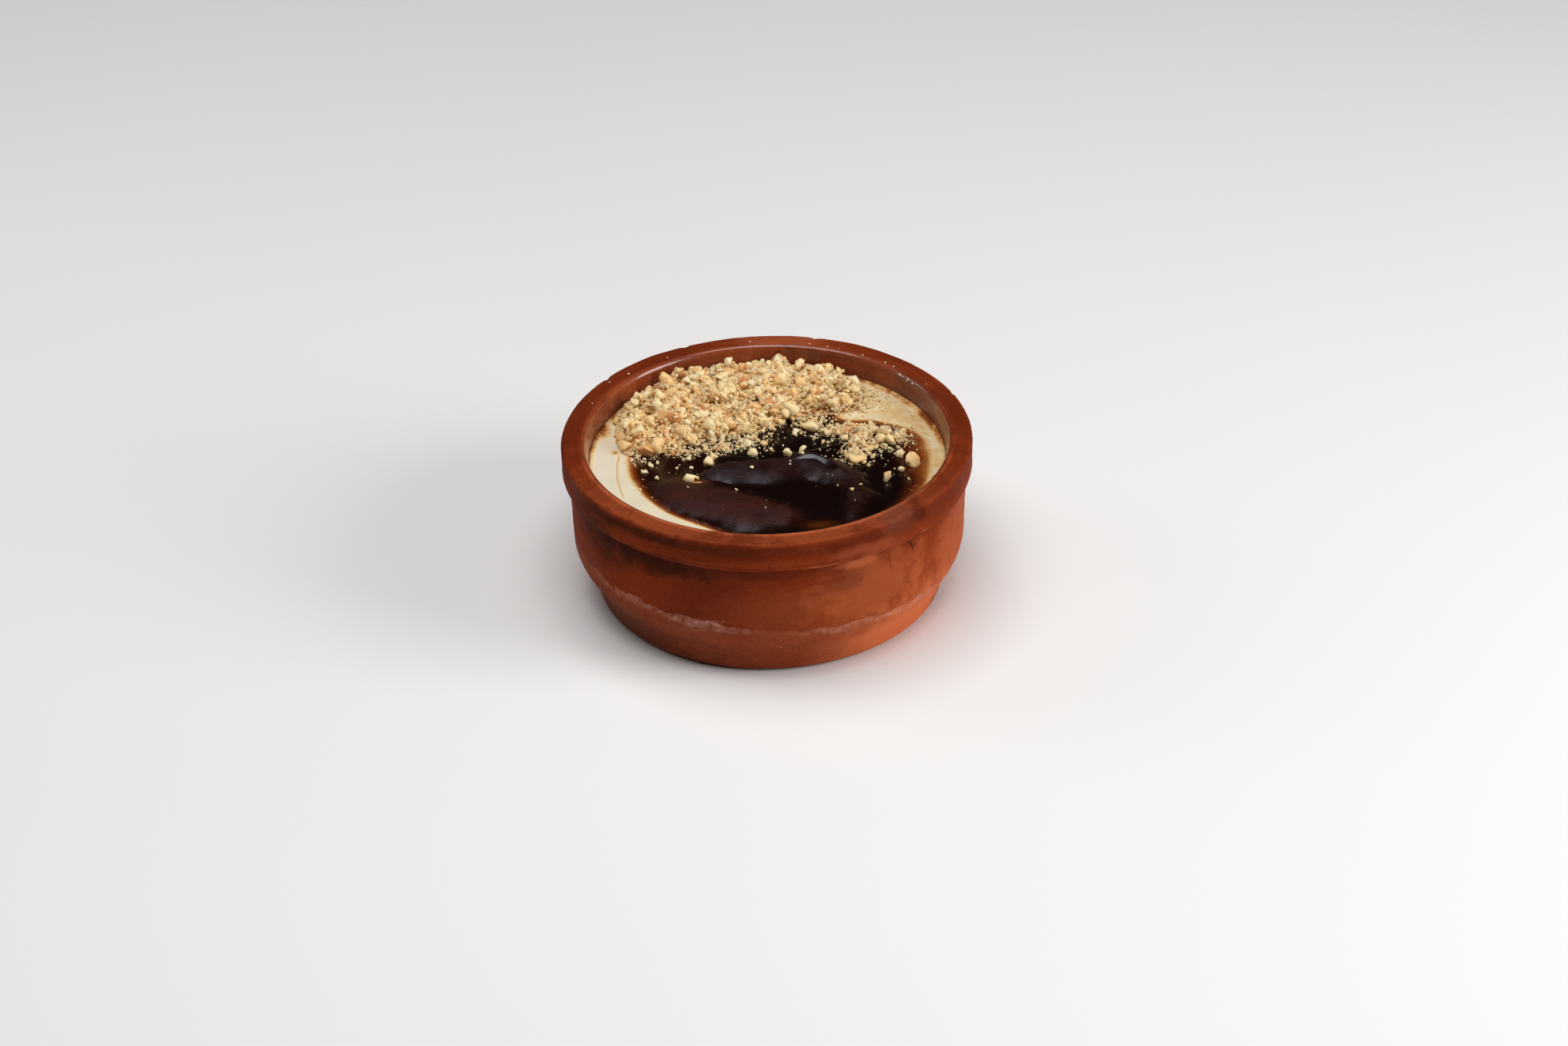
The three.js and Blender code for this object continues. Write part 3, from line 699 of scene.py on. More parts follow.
    # Bloom over the foot, specks and pits
    powder = nodes.fade(nodes.noise(place, scale=420.0, detail=6.0, roughness=0.75), 0.36, 0.66)
    powder = nodes.times(powder, nodes.stripe(foot_line, BLOOM_START, BLOOM_END))
    for centre, reach, ragged, share in BLOOM_PATCHES:
        mask = nodes.times(patch(centre, reach, ragged), nodes.times(powder, share))
        colour = nodes.mix(mask, colour, CLAY_BLOOM)
    specks = nodes.fade(nodes.spots(place, scale=150.0), 0.03, 0.055, 0.8, 0.0)
    rare = nodes.fade(nodes.noise(place, scale=60.0), 0.5, 0.58)
    colour = nodes.mix(nodes.times(specks, rare), colour, CLAY_SPECK)
    pits = nodes.spots(nodes.scaled(place, (1, 1, 1.6)), scale=190.0)
    pits = nodes.fade(pits, 0.05, 0.11, 1.0, 0.0)
    pits = nodes.times(pits, nodes.fade(nodes.noise(place, scale=90.0), 0.55, 0.62))
    colour = nodes.mix(nodes.times(pits, 0.65), colour, CLAY_PIT)
    nodes.put(shader.inputs["Base Color"], colour)

    # Finish and relief
    nodes.put(shader.inputs["Roughness"], nodes.fade(clouds, 0.3, 0.7, 0.55, 0.8))
    lines = nodes.times(nodes.times(streaks, 0.9), on_wheel)
    relief = nodes.plus(nodes.times(grains, 0.5), lines)
    relief = nodes.minus(relief, nodes.times(pits, 0.8))
    nodes.put(shader.inputs["Normal"], nodes.bump(relief, strength=0.8, distance=0.0003))
    return material


GLAZE_DEEP = srgb(112, 44, 16)
GLAZE_WARM = srgb(146, 66, 30)
GLAZE_STAIN = srgb(76, 28, 8)

# Heights in metres between which baked milk ends on the glaze, and its glossy upper edge begins
BAKED_ON = (0.0435, 0.0475)
GLOSSY_LIP = (0.0455, 0.0475)


def glaze_material(grain):
    """Clear brown glaze on the inside of the bowl, darker where milk has baked on above the pudding."""
    material, shader, nodes = new_material("honey_glaze", Specular_IOR_Level=0.4, Coat_Roughness=0.07)
    place = nodes.place()
    clouds = nodes.noise(place, scale=60.0, detail=4.0, roughness=0.6)
    runs = nodes.noise(nodes.scaled(place, (160, 160, 30)), scale=1.0, detail=3.0, roughness=0.6)
    colour = nodes.mix(nodes.fade(clouds, 0.3, 0.7), GLAZE_DEEP, GLAZE_WARM)
    colour = nodes.mix(nodes.fade(runs, 0.5, 0.75, 0.0, 0.4), colour, GLAZE_STAIN)
    height = nodes.add("SeparateXYZ", {0: place}).outputs["Z"]
    baked_line = nodes.plus(height, nodes.times(clouds, 0.004))
    colour = nodes.mix(nodes.fade(baked_line, *BAKED_ON, 0.75, 0.0), colour, GLAZE_STAIN)
    nodes.put(shader.inputs["Base Color"], colour)
    grains = nodes.group(grain, {"Vector": place, "Size": 0.0016}).outputs["Grain"]
    nodes.put(shader.inputs["Roughness"], nodes.fade(grains, 0.3, 0.7, 0.22, 0.4))
    lip = nodes.times(nodes.fade(height, *GLOSSY_LIP), nodes.fade(grains, 0.42, 0.58, 0.15, 1.0))
    gloss = nodes.greater(nodes.fade(clouds, 0.3, 0.6, 0.15, 0.5), lip)
    nodes.put(shader.inputs["Coat Weight"], gloss)
    nodes.put(shader.inputs["Normal"], nodes.bump(grains, strength=0.25, distance=0.0002))
    return material


CREAM = srgb(230, 220, 196)
AMBER = srgb(112, 52, 14)
AMBER_LIGHT = srgb(214, 160, 96)
CHOCOLATE = srgb(62, 21, 6)
SHEEN = (1, 0.84, 0.93, 1)
SKIN_FINISH = dict(Specular_IOR_Level=0.24, Specular_Tint=SHEEN, Coat_Roughness=0.14)
GLOSSY = 0.2  # roughness of the flat skin
SATIN = 0.58  # roughness of the folds and the cream
CREST_COAT = 0.7

# Colours from the cream, over the skin's outline at a half, to the middle of the skin
SKIN_COLOURS = [
    (0.0, CREAM),
    (0.2, srgb(234, 216, 176)),
    (0.36, srgb(220, 178, 116)),
    (0.47, srgb(172, 106, 48)),
    (0.58, srgb(122, 56, 16)),
    (0.72, srgb(72, 26, 8)),
    (0.88, srgb(40, 13, 5)),
    (1.0, srgb(17, 5, 3)),
]


def pudding_material(grain):
    """Cream, caramel and the dark baked skin, by how deep inside the skin's outline a place lies."""
    material, shader, nodes = new_material("baked_milk_skin", **SKIN_FINISH)
    place = nodes.place()
    grains = nodes.group(grain, {"Vector": place, "Size": 0.0014}).outputs["Grain"]
    clouds = nodes.noise(place, scale=110.0, detail=4.0, roughness=0.6)
    skin = nodes.attribute("skin")
    pebble = nodes.attribute("pebble")
    thin = nodes.attribute("thin")

    # Cream, caught places with a painted shadow under a nut, and skin
    uneven = nodes.plus(nodes.swing(clouds, 0.5), nodes.swing(grains, 0.3))
    banded = nodes.times(skin, nodes.minus(1.0, skin))
    cover = nodes.plus(skin, nodes.times(uneven, nodes.times(banded, 2.0)))
    caught = nodes.times(nodes.attribute("scorch_and_shadow"), nodes.fade(uneven, -0.12, 0.1, 0.3, 0.62))
    caught = nodes.greater(caught, nodes.times(nodes.attribute("crack"), 0.45))
    warm = nodes.times(nodes.attribute("warm"), nodes.fade(clouds, 0.3, 0.65, 0.14, 0.34))
    cover = nodes.greater(cover, nodes.greater(caught, warm))
    colour = nodes.ramp(cover, SKIN_COLOURS)

    # Browner folds, amber where the skin is thin, and blisters along its outline
    brown = nodes.times(nodes.attribute("brown"), nodes.fade(clouds, 0.3, 0.7, 0.45, 1.0))
    colour = nodes.mix(nodes.times(brown, nodes.fade(skin, 0.75, 1.0)), colour, CHOCOLATE)
    colour = nodes.mix(nodes.times(thin, nodes.fade(clouds, 0.3, 0.6, 0.6, 1.0)), colour, AMBER)
    colour = nodes.mix(nodes.fade(thin, 0.6, 1.0, 0.0, 0.8), colour, AMBER_LIGHT)
    blisters = nodes.fade(nodes.spots(place, scale=620.0), 0.1, 0.26, 1.0, 0.0)
    blisters = nodes.times(blisters, nodes.fade(banded, 0.08, 0.2))
    colour = nodes.mix(nodes.times(blisters, 0.35), colour, AMBER_LIGHT)
    nodes.put(shader.inputs["Base Color"], colour)

    # Satin folds on glossy skin, and moist cream
    blotches = nodes.noise(place, scale=230.0, detail=4.0, roughness=0.65)
    blotches = nodes.fade(blotches, 0.35, 0.65, 0.35, 1.0)
    satin = nodes.times(nodes.attribute("satin"), blotches)
    satin = nodes.greater(satin, nodes.fade(skin, 0.3, 0.7, 1.0, 0.0))
    nodes.put(shader.inputs["Roughness"], nodes.fade(satin, 0.0, 1.0, GLOSSY, SATIN))
    moist = nodes.fade(skin, 0.3, 0.8, 0.8, 0.0)
    shine = nodes.times(nodes.attribute("shine"), CREST_COAT)
    nodes.put(shader.inputs["Coat Weight"], nodes.greater(moist, shine))

    # Pebbled relief, bubbles and blisters
    fine = nodes.noise(place, scale=1500.0, detail=3.0, roughness=0.65)
    fine = nodes.times(fine, nodes.plus(nodes.times(pebble, 0.75), 0.06))
    bubbles = nodes.fade(nodes.spots(place, scale=700.0), 0.08, 0.24, 1.0, 0.0)
    bubbles = nodes.times(bubbles, nodes.fade(nodes.noise(place, scale=330.0), 0.5, 0.6))
    bubbles = nodes.times(bubbles, pebble)
    relief = nodes.plus(fine, nodes.times(nodes.plus(blisters, bubbles), 0.6))
    nodes.put(shader.inputs["Normal"], nodes.bump(relief, strength=0.8, distance=0.0005))
    return material


# Tones of the nuts from the palest kernel to rests of brown skin
NUT_COLOURS = [
    (0.0, srgb(255, 244, 214)),
    (0.3, srgb(253, 227, 176)),
    (0.5, srgb(246, 202, 138)),
    (0.7, srgb(228, 164, 104)),
    (0.88, srgb(176, 104, 70)),
    (1.0, srgb(60, 32, 20)),
]
NUT_SKIN = srgb(170, 98, 64)
NUT_FINISH = dict(
    Roughness=0.6, Specular_IOR_Level=0.3,
    Subsurface_Weight=0.5, Subsurface_Radius=(1, 0.85, 0.7), Subsurface_Scale=0.001,
)


def nut_material(name, grain, shade):
    """Chopped hazelnut: pale cut faces, toasted pieces and rests of brown skin."""
    material, shader, nodes = new_material(name, **NUT_FINISH)
    place = nodes.place()
    grains = nodes.group(grain, {"Vector": place, "Size": 0.0009}).outputs["Grain"]
    uneven = nodes.swing(grains, 0.35)
    toasted = nodes.swing(nodes.noise(place, scale=170.0, detail=2.0), 0.35)
    tone = nodes.plus(nodes.attribute("tone"), nodes.plus(uneven, toasted))
    colour = nodes.ramp(tone, NUT_COLOURS)
    skin = nodes.times(nodes.attribute("nut_skin"), nodes.fade(grains, 0.4, 0.6))
    colour = nodes.mix(skin, colour, NUT_SKIN)
    # Multiplied by a shade: painted shade for the core in the gaps, a slight warm tint for the chopped nuts
    colour = nodes.mix(1.0, colour, shade, "MULTIPLY")
    nodes.put(shader.inputs["Base Color"], colour)
    crumbs = nodes.times(nodes.noise(place, scale=1300.0, detail=3.0, roughness=0.65), 0.8)
    relief = nodes.plus(grains, crumbs)
    nodes.put(shader.inputs["Normal"], nodes.bump(relief, strength=0.8, distance=0.0004))
    return material


# Modelling helpers

def deselect_all():
    bpy.ops.object.select_all(action="DESELECT")


def turned_piece(name, rings, sides):
    """A closed piece of rings (radius, height), each extruded from the last, with its end drawn shut."""
    deselect_all()
    radius, height = rings[0]
    bpy.ops.mesh.primitive_circle_add(vertices=sides, radius=radius * MM, fill_type="NGON")
    piece = bpy.context.object
    piece.name = name
    bpy.ops.object.mode_set(mode="EDIT")
    bpy.ops.transform.translate(value=(0, 0, height * MM))
    for next_radius, next_height in rings[1:]:
        rise = (0, 0, (next_height - height) * MM)
        bpy.ops.mesh.extrude_region_move(TRANSFORM_OT_translate={"value": rise})
        share = next_radius / radius
        bpy.ops.transform.resize(value=(share, share, 1), center_override=(0, 0, next_height * MM))
        radius, height = next_radius, next_height
    bpy.ops.mesh.merge(type="CENTER")
    bpy.ops.mesh.select_all(action="SELECT")
    bpy.ops.mesh.normals_make_consistent(inside=False)
    bpy.ops.object.mode_set(mode="OBJECT")
    bpy.ops.object.shade_smooth()
    return piece


def points_of(piece):
    """The piece's vertices in millimetres."""
    flat = np.empty(3 * len(piece.data.vertices))
    piece.data.vertices.foreach_get("co", flat)
    return flat.reshape(-1, 3) / MM


def set_points(piece, points):
    piece.data.vertices.foreach_set("co", (points * MM).astype(np.float32).ravel())
    piece.data.update()


def set_attribute(piece, name, values, domain="POINT"):
    attribute = piece.data.attributes.new(name, "FLOAT", domain)
    attribute.data.foreach_set("value", np.asarray(values, np.float32))


def straight(start, end, step):
    """Points from start to end, without start, about one step apart."""
    count = max(1, round(math.dist(start, end) / step))
    return [tuple(np.add(start, np.subtract(end, start) * i / count)) for i in range(1, count + 1)]


def rounded(start, corner, end, steps):
    """Points of a rounded corner from start to end, without start."""
    start, corner, end = (np.array(p, float) for p in (start, corner, end))
    shares = [i / steps for i in range(1, steps + 1)]
    return [tuple((1 - t) ** 2 * start + 2 * t * (1 - t) * corner + t**2 * end) for t in shares]


def spline(points, count, closed=False):
    """A smooth curve through the points, as an array with count rows or count + 1 when it is open."""
    points = np.array(points, float)
    size = len(points)
    spans = size if closed else size - 1
    at = np.arange(count + (not closed)) * spans / count
    index = np.minimum(at.astype(int), spans - 1)
    t = (at - index)[:, None]

    def corner(offset):
        step = index + offset
        return points[step % size] if closed else points[np.clip(step, 0, size - 1)]

    before, start, end, after = (corner(i) for i in (-1, 0, 1, 2))
    return 0.5 * (
        2 * start
        + (end - before) * t
        + (2 * before - 5 * start + 4 * end - after) * t**2
        + (3 * start - before - 3 * end + after) * t**3
    )


def near_line(x, y, line):
    """Distance from places to a line of points, which side of it they are on, and the share along it."""
    nearest = np.full(x.shape, np.inf)
    side = np.zeros(x.shape)
    share_along = np.zeros(x.shape)
    for i in range(len(line) - 1):
        start, step = line[i][:2], (line[i + 1] - line[i])[:2]
        dx, dy = x - start[0], y - start[1]
        share = np.clip((dx * step[0] + dy * step[1]) / (step @ step), 0, 1)
        distance = np.hypot(dx - share * step[0], dy - share * step[1])
        closer = distance < nearest
        nearest = np.where(closer, distance, nearest)
        side = np.where(closer, step[0] * dy - step[1] * dx, side)
        share_along = np.where(closer, (i + share) / (len(line) - 1), share_along)
    return nearest, side, share_along


def smooth_step(value, low, high):
    """0 at low and 1 at high, either way round, with soft ends."""
    share = np.clip((value - low) / (high - low), 0, 1)
    return share * share * (3 - 2 * share)


# Bowl

def cavity_rings(inset):
    """Rings of the bowl's inside from the pudding's level down, drawn in by an inset."""
    floor = FLOOR_THICKNESS + inset
    edge = (CAVITY_RADIUS - inset, PUDDING_LEVEL)
    turn = (CAVITY_LOW_RADIUS - inset, CAVITY_TURN_HEIGHT)
    rings = [edge] + straight(edge, turn, CAVITY_STEP)
    rings += rounded(turn, (turn[0], floor), (FLOOR_RADIUS, floor), CURVE_STEPS)
    return rings + [(FLOOR_RADIUS / 2, floor)]


def wheel_marks(rings, low, high):
    """Rings between two heights pushed in and out a little, as the potter's wheel leaves them."""
    marked = []
    for radius, height in rings:
        if low < height < high and radius > CAVITY_RADIUS:
            radius += random.normal(0, 0.5) * TURNING_MARK
        marked.append((radius, height))
    return marked


def bowl_rings():
    """Rings of the whole bowl, up its outside, over the rim and down its inside."""
    band_foot = BOWL_HEIGHT - BAND_HEIGHT
    rings = [(BASE_RADIUS, 0)]
    rings += rounded(rings[-1], (FOOT_RADIUS, 0), (FOOT_RADIUS, FOOT_EDGE_HEIGHT), CURVE_STEPS)
    rings += straight(rings[-1], (FOOT_TOP_RADIUS, FOOT_TOP_HEIGHT), PROFILE_STEP)
    middle = (FOOT_TOP_HEIGHT + BELLY_HEIGHT) / 2
    rings += rounded(rings[-1], (BELLY_RADIUS, middle), (BELLY_RADIUS, BELLY_HEIGHT), BELLY_STEPS)
    rings += straight(rings[-1], (WALL_RADIUS, band_foot - GROOVE_SIZE), WALL_STEP)
    groove_end = (WALL_RADIUS + GROOVE_WIDTH, band_foot)
    rings += rounded(rings[-1], (WALL_RADIUS, band_foot), groove_end, GROOVE_STEPS)
    rings += rounded(rings[-1], (RIM_RADIUS, band_foot), (RIM_RADIUS, band_foot + BAND_EDGE), CURVE_STEPS)
    rings += straight(rings[-1], (RIM_RADIUS, BOWL_HEIGHT - BAND_EDGE), PROFILE_STEP)
    rim_edge = (RIM_RADIUS - BAND_EDGE, BOWL_HEIGHT)
    rings += rounded(rings[-1], (RIM_RADIUS, BOWL_HEIGHT), rim_edge, CURVE_STEPS)
    inner = (RIM_INNER_RADIUS + RIM_INNER_EDGE, BOWL_HEIGHT)
    rings += straight(rings[-1], inner, PROFILE_STEP)
    wall_top = (RIM_INNER_RADIUS, BOWL_HEIGHT - RIM_INNER_EDGE)
    rings += rounded(inner, (RIM_INNER_RADIUS, BOWL_HEIGHT), wall_top, CURVE_STEPS)
    cavity = cavity_rings(0)
    rings += straight(wall_top, cavity[0], PROFILE_STEP)
    return wheel_marks(rings, SMOOTH_EDGE, BOWL_HEIGHT - SMOOTH_EDGE) + cavity[1:]


def glaze_inside(bowl):
    """Gives the bowl's inside, from the rim's inner edge down to its floor, the second material."""
    glazed_height = FLOOR_THICKNESS * MM * 0.9
    for polygon in bowl.data.polygons:
        middle = polygon.center
        looks_out = middle.x * polygon.normal.x + middle.y * polygon.normal.y > 0
        if math.hypot(middle.x, middle.y) < GLAZE_EDGE * MM and middle.z > glazed_height and not looks_out:
            polygon.material_index = 1


def roughen_outside(bowl):
    """Unevenness of hand-thrown clay, as displacement of the outside."""
    outside = bowl.vertex_groups.new(name="outside")
    points = points_of(bowl)
    radius = np.hypot(points[:, 0], points[:, 1])
    chosen = (radius > RIM_INNER_RADIUS + RIM_INNER_EDGE) & (points[:, 2] > ROUGH_ABOVE)
    outside.add(np.flatnonzero(chosen).tolist(), 1.0, "REPLACE")
    bpy.context.view_layer.objects.active = bowl
    for name, size, depth in CLAY_UNEVEN:
        texture = bpy.data.textures.new(name, "CLOUDS")
        texture.noise_scale = size * MM
        modifier = bowl.modifiers.new(name, "DISPLACE")
        modifier.texture = texture
        modifier.texture_coords = "LOCAL"
        modifier.strength = depth * MM
        modifier.mid_level = 0.6
        modifier.vertex_group = "outside"
        bpy.ops.object.modifier_apply(modifier=name)


def make_bowl(clay, glaze):
    bowl = turned_piece("earthenware_bowl", bowl_rings(), BOWL_SIDES)
    bowl.data.materials.append(clay)
    bowl.data.materials.append(glaze)
    glaze_inside(bowl)
    roughen_outside(bowl)
    nick_rim(bowl)
    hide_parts("bowl")
    return bowl


# Nicks in the bowl's edges: angle from the front towards the right in degrees, radius, height, depth, width
NICKS = [
    (-127, 59.8, 48.4, 0.4, 1.4), (-156, 59.8, 48.4, 0.4, 1.3), (-62, 59.8, 40, 0.5, 1.5),
    (-25.7, 59.7, 48.1, 0.6, 1.4), (-40.8, 59.8, 48.4, 0.5, 1.3), (-49.4, 59.8, 48.4, 0.4, 1.1),
    (-31, 59.9, 44.1, 0.4, 1), (44, 59.9, 40.2, 0.6, 1.3), (40, 59.7, 48.3, 0.5, 1.5),
    (112, 59.7, 48.3, 0.3, 1.4), (165, 59.8, 48.2, 0.5, 1.4), (75, 58, 31, 0.4, 1),
    (-12, 53.3, 48.4, 0.4, 1.2), (63, 53.3, 48.4, 0.4, 1.2),
]
NICK_ROUND = 1.5  # power by which a nick falls off
NICK_FALL = -0.6  # how far a nick in the top edge also goes down, for each step in
NICK_LIFT = 0.4  # how far a lower nick also goes up


def nick_rim(bowl):
    """Presses small nicks into the bowl's edges."""
    points = points_of(bowl)
    for angle, radius, height, depth, width in NICKS:
        turn = math.radians(angle)
        place = np.array([radius * math.sin(turn), -radius * math.cos(turn), height])
        distance = np.linalg.norm(points - place, axis=1)
        push = depth * np.clip(1 - (distance / width) ** 2, 0, 1) ** NICK_ROUND
        slope = NICK_FALL if height > BOWL_HEIGHT - 1 else NICK_LIFT
        inward = np.array([-math.sin(turn), math.cos(turn), slope])
        points += push[:, None] * inward
    set_points(bowl, points)


# Pudding

def fold_height(fold, x, y):
    """Height that one fold adds at places, with a wavering edge."""
    crest = spline(fold, 60)
    waver_x = np.sin(0.62 * y + 0.9 * np.sin(0.31 * x)) + 0.5 * np.sin(1.25 * y + 0.5 * x)
    waver_y = np.sin(0.55 * x + 0.8 * np.sin(0.37 * y)) + 0.5 * np.sin(1.1 * x - 0.6 * y)
    nearest, side, along = near_line(x + FOLD_WAVER * waver_x, y + FOLD_WAVER * waver_y, crest)
    steps = np.linspace(0, 1, len(crest))
    rise, behind, ahead = (np.interp(along, steps, crest[:, column]) for column in (2, 3, 4))
    reach = np.where(side > 0, behind, ahead)
    return rise * np.clip(1 - (nearest / reach) ** 2, 0, 1) ** PUFF


def skin_height(x, y, cover):
    """Height of the skin and its folds above the pudding's level."""
    height = np.maximum(fold_height(TONGUE, x, y), fold_height(LOBE, x, y))
    for crease in CREASES:
        nearest, _, along = near_line(x, y, spline(crease["line"], 24))
        ends = np.clip(4 * np.minimum(along, 1 - along), 0, 1)
        height += crease["rise"] * ends * np.clip(1 - (nearest / crease["reach"]) ** 2, 0, 1) ** 2
    for middle_x, middle_y, half_x, half_y, rise in BUMPS:
        height += rise * np.exp(-(((x - middle_x) / half_x) ** 2 + ((y - middle_y) / half_y) ** 2))
    return (height + SKIN_THICKNESS) * smooth_step(cover, 0.25, 0.95)


def skin_cover(x, y):
    """0 on the cream, 1 on the dark skin, and 0.5 on the skin's outline."""
    outline = spline(SKIN_OUTLINE, 240, closed=True)
    closed_line = np.vstack([outline, outline[:1]])
    nearest, _, along = near_line(x, y, closed_line)
    steps = np.arange(len(closed_line)) / len(outline)
    darkening = np.interp(along, steps, closed_line[:, 2])
    fading = np.interp(along, steps, closed_line[:, 3])
    inside = inside_outline(x, y, outline)
    share = np.where(inside, nearest / darkening, -nearest / fading)
    return 0.5 + 0.5 * np.clip(share, -1, 1)


def inside_outline(x, y, outline):
    """True at places inside a closed outline of points."""
    inside = np.zeros(x.shape, bool)
    ends = np.roll(outline, -1, axis=0)
    for start, end in zip(outline, ends):
        crosses = (start[1] > y) != (end[1] > y)
        step = (end[0] - start[0]) * (y - start[1]) / (end[1] - start[1] + 1e-12) + start[0]
        inside ^= crosses & (x < step)
    return inside


def wave(x, y, rise, count, least, most):
    """Gentle seeded unevenness of about the given rise, from waves of the given lengths."""
    total = np.zeros(x.shape)
    for _ in range(count):
        angle, phase = random.uniform(0, 2 * math.pi, 2)
        length = random.uniform(least, most)
        total += np.sin((x * math.cos(angle) + y * math.sin(angle)) * 2 * math.pi / length + phase)
    return rise * total / math.sqrt(count)


def spots_at(spots, x, y):
    """The strongest of some soft round spots at places."""
    strength = np.zeros(len(x))
    for spot_x, spot_y, half_x, half_y, full in spots:
        share = ((x - spot_x) / half_x) ** 2 + ((y - spot_y) / half_y) ** 2
        strength = np.maximum(strength, full * np.exp(-share))
    return strength


def crack_at(x, y):
    """How much of the crack is at places, how far off it is, and on which side of it they are."""
    distance, side, along = near_line(x, y, spline(CRACK, 24))
    ends = smooth_step(np.minimum(along, 1 - along), 0, 0.1)
    return np.exp(-((distance / CRACK_WIDTH) ** 2)) * ends, distance, side


def raise_top(pudding, cover, crack):
    """Raises the pudding's level top into folds, lumps and a rim that climbs the wall."""
    points = points_of(pudding)
    x, y = points[:, 0], points[:, 1]
    radius = np.hypot(x, y)
    edge = CAVITY_RADIUS - WALL_CONTACT
    off_wall = smooth_step(radius, edge, edge - LEVEL_BY_WALL)
    height = skin_height(x, y, cover) * off_wall
    height += wave(x, y, **SKIN_WAVES) * off_wall
    lumpy = smooth_step(radius, 40, 47) * smooth_step(x, 0, 25) * (1 - cover)
    height += wave(x, y, **CREAM_LUMPS) * lumpy * off_wall
    height -= CRACK_DEPTH * crack
    height += MENISCUS * np.clip((radius - edge + MENISCUS_REACH) / MENISCUS_REACH, 0, 1) ** 2
    top = points[:, 2] > PUDDING_LEVEL - 0.01
    points[:, 2] += np.where(top, height, 0)
    set_points(pudding, points)


def mark_finish(pudding, x, y, cover):
    """Attributes for the pudding's material: where it is skinned, scorched, darkened by a painted shadow,
    thin, brown, satin and shiny.
    """
    crack, crack_distance, crack_side = crack_at(x, y)
    edge = CAVITY_RADIUS - WALL_CONTACT
    by_wall = smooth_step(np.hypot(x, y), edge - 2 - 2 * smooth_step(x, 10, 40), edge - 0.3)
    scorched = 0.45 + 0.55 * smooth_step(np.abs(np.arctan2(x, -y)), 1.3, 1.9)
    by_crack = 0.3 * (crack_side > 0) * smooth_step(crack_distance, 0, 1.2)
    crest = near_line(x, y, spline(CREST_SHINE, 24))[0]
    tongue = smooth_step(fold_height(TONGUE, x, y), *TONGUE_SATIN)
    tongue *= 1 - 0.25 * np.exp(-((x / 7) ** 2))
    tongue *= 1 - 0.7 * np.exp(-((crest / GLOSS_REACH) ** 2))
    lobe = smooth_step(fold_height(LOBE, x, y), *LOBE_SATIN)
    left = smooth_step(x, -5, -30)
    set_attribute(pudding, "skin", cover)
    set_attribute(pudding, "crack", crack)
    set_attribute(pudding, "thin", spots_at(THIN_PLACES, x, y))
    set_attribute(pudding, "scorch_and_shadow", np.maximum(by_wall * scorched, spots_at(CAUGHT_AND_SHADOW_PLACES, x, y)))
    set_attribute(pudding, "warm", np.maximum(smooth_step(x, -20, 30), by_crack))
    set_attribute(pudding, "brown", np.max([0.3 * left, 0.8 * lobe, 0.3 * tongue], axis=0))
    set_attribute(pudding, "satin", np.maximum(tongue, lobe))
    set_attribute(pudding, "shine", np.exp(-((crest / SHINE_REACH) ** 2)))
    set_attribute(pudding, "pebble", np.maximum(lobe, tongue * (0.4 + 0.4 * smooth_step(x, 4, -12))))


def make_pudding(material):
    edge = CAVITY_RADIUS - WALL_CONTACT
    shares = np.linspace(1, 0, PUDDING_RINGS + 1)[1:-1]
    rings = cavity_rings(WALL_CONTACT)[::-1] + [(edge * share, PUDDING_LEVEL) for share in shares]
    pudding = turned_piece("rice_pudding", rings, PUDDING_SIDES)
    x, y = points_of(pudding)[:, :2].T
    cover = skin_cover(x, y)
    raise_top(pudding, cover, crack_at(x, y)[0])
    mark_finish(pudding, x, y, cover)
    pudding.data.materials.append(material)
    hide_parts("pudding")
    return pudding


# Heap

heap_line = spline(HEAP_OUTLINE, 160, closed=True) - HEAP_MIDDLE
heap_line = heap_line[np.argsort(np.arctan2(heap_line[:, 1], heap_line[:, 0]))]


def heap_reach(angle):
    """How far the heap's outline is from its middle in some directions."""
    angles = np.arctan2(heap_line[:, 1], heap_line[:, 0])
    reaches = np.hypot(heap_line[:, 0], heap_line[:, 1])
    return np.interp(angle, angles, reaches, period=2 * math.pi)


def heap_share(x, y):
    """How far places are from the heap's middle, as a share of the way to its outline."""
    dx, dy = x - HEAP_MIDDLE[0], y - HEAP_MIDDLE[1]
    return np.hypot(dx, dy) / heap_reach(np.arctan2(dy, dx))


def heap_height(x, y):
    """Top of the heap's core above the pudding's level."""
    back = smooth_step(y, 0, HEAP_BACK_Y)
    full = HEAP_FRONT_HEIGHT + (HEAP_BACK_HEIGHT - HEAP_FRONT_HEIGHT) * back
    share = np.minimum(heap_share(x, y), 1) ** HEAP_STEEPNESS
    return full + (HEAP_EDGE_HEIGHT - full) * share - CORE_BELOW_HEAP


def make_heap_core(material):
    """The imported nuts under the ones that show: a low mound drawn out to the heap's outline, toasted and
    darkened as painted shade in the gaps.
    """
    shares = np.linspace(1, 0, CORE_RINGS)[1:-1]
    rings = [(CORE_SHARE, 0)] + [(CORE_SHARE * share, 1) for share in np.insert(shares, 0, 1)]
    core = turned_piece("heap_core", rings, CORE_SIDES)
    points = points_of(core)
    reach = heap_reach(np.arctan2(points[:, 1], points[:, 0]))
    x = HEAP_MIDDLE[0] + points[:, 0] * reach
    y = HEAP_MIDDLE[1] + points[:, 1] * reach
    top = heap_height(x, y) + wave(x, y, **CORE_WAVES)
    z = PUDDING_LEVEL + np.where(points[:, 2] > 0.5, np.maximum(top, 0.05), 0.02)
    set_points(core, np.column_stack([x, y, z]))
    set_attribute(core, "tone", np.full(len(x), CORE_TONE))
    set_attribute(core, "nut_skin", np.zeros(len(x)))
    core.data.materials.append(material)
    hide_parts("hazelnut_heap")
    return core


# Chopped nuts

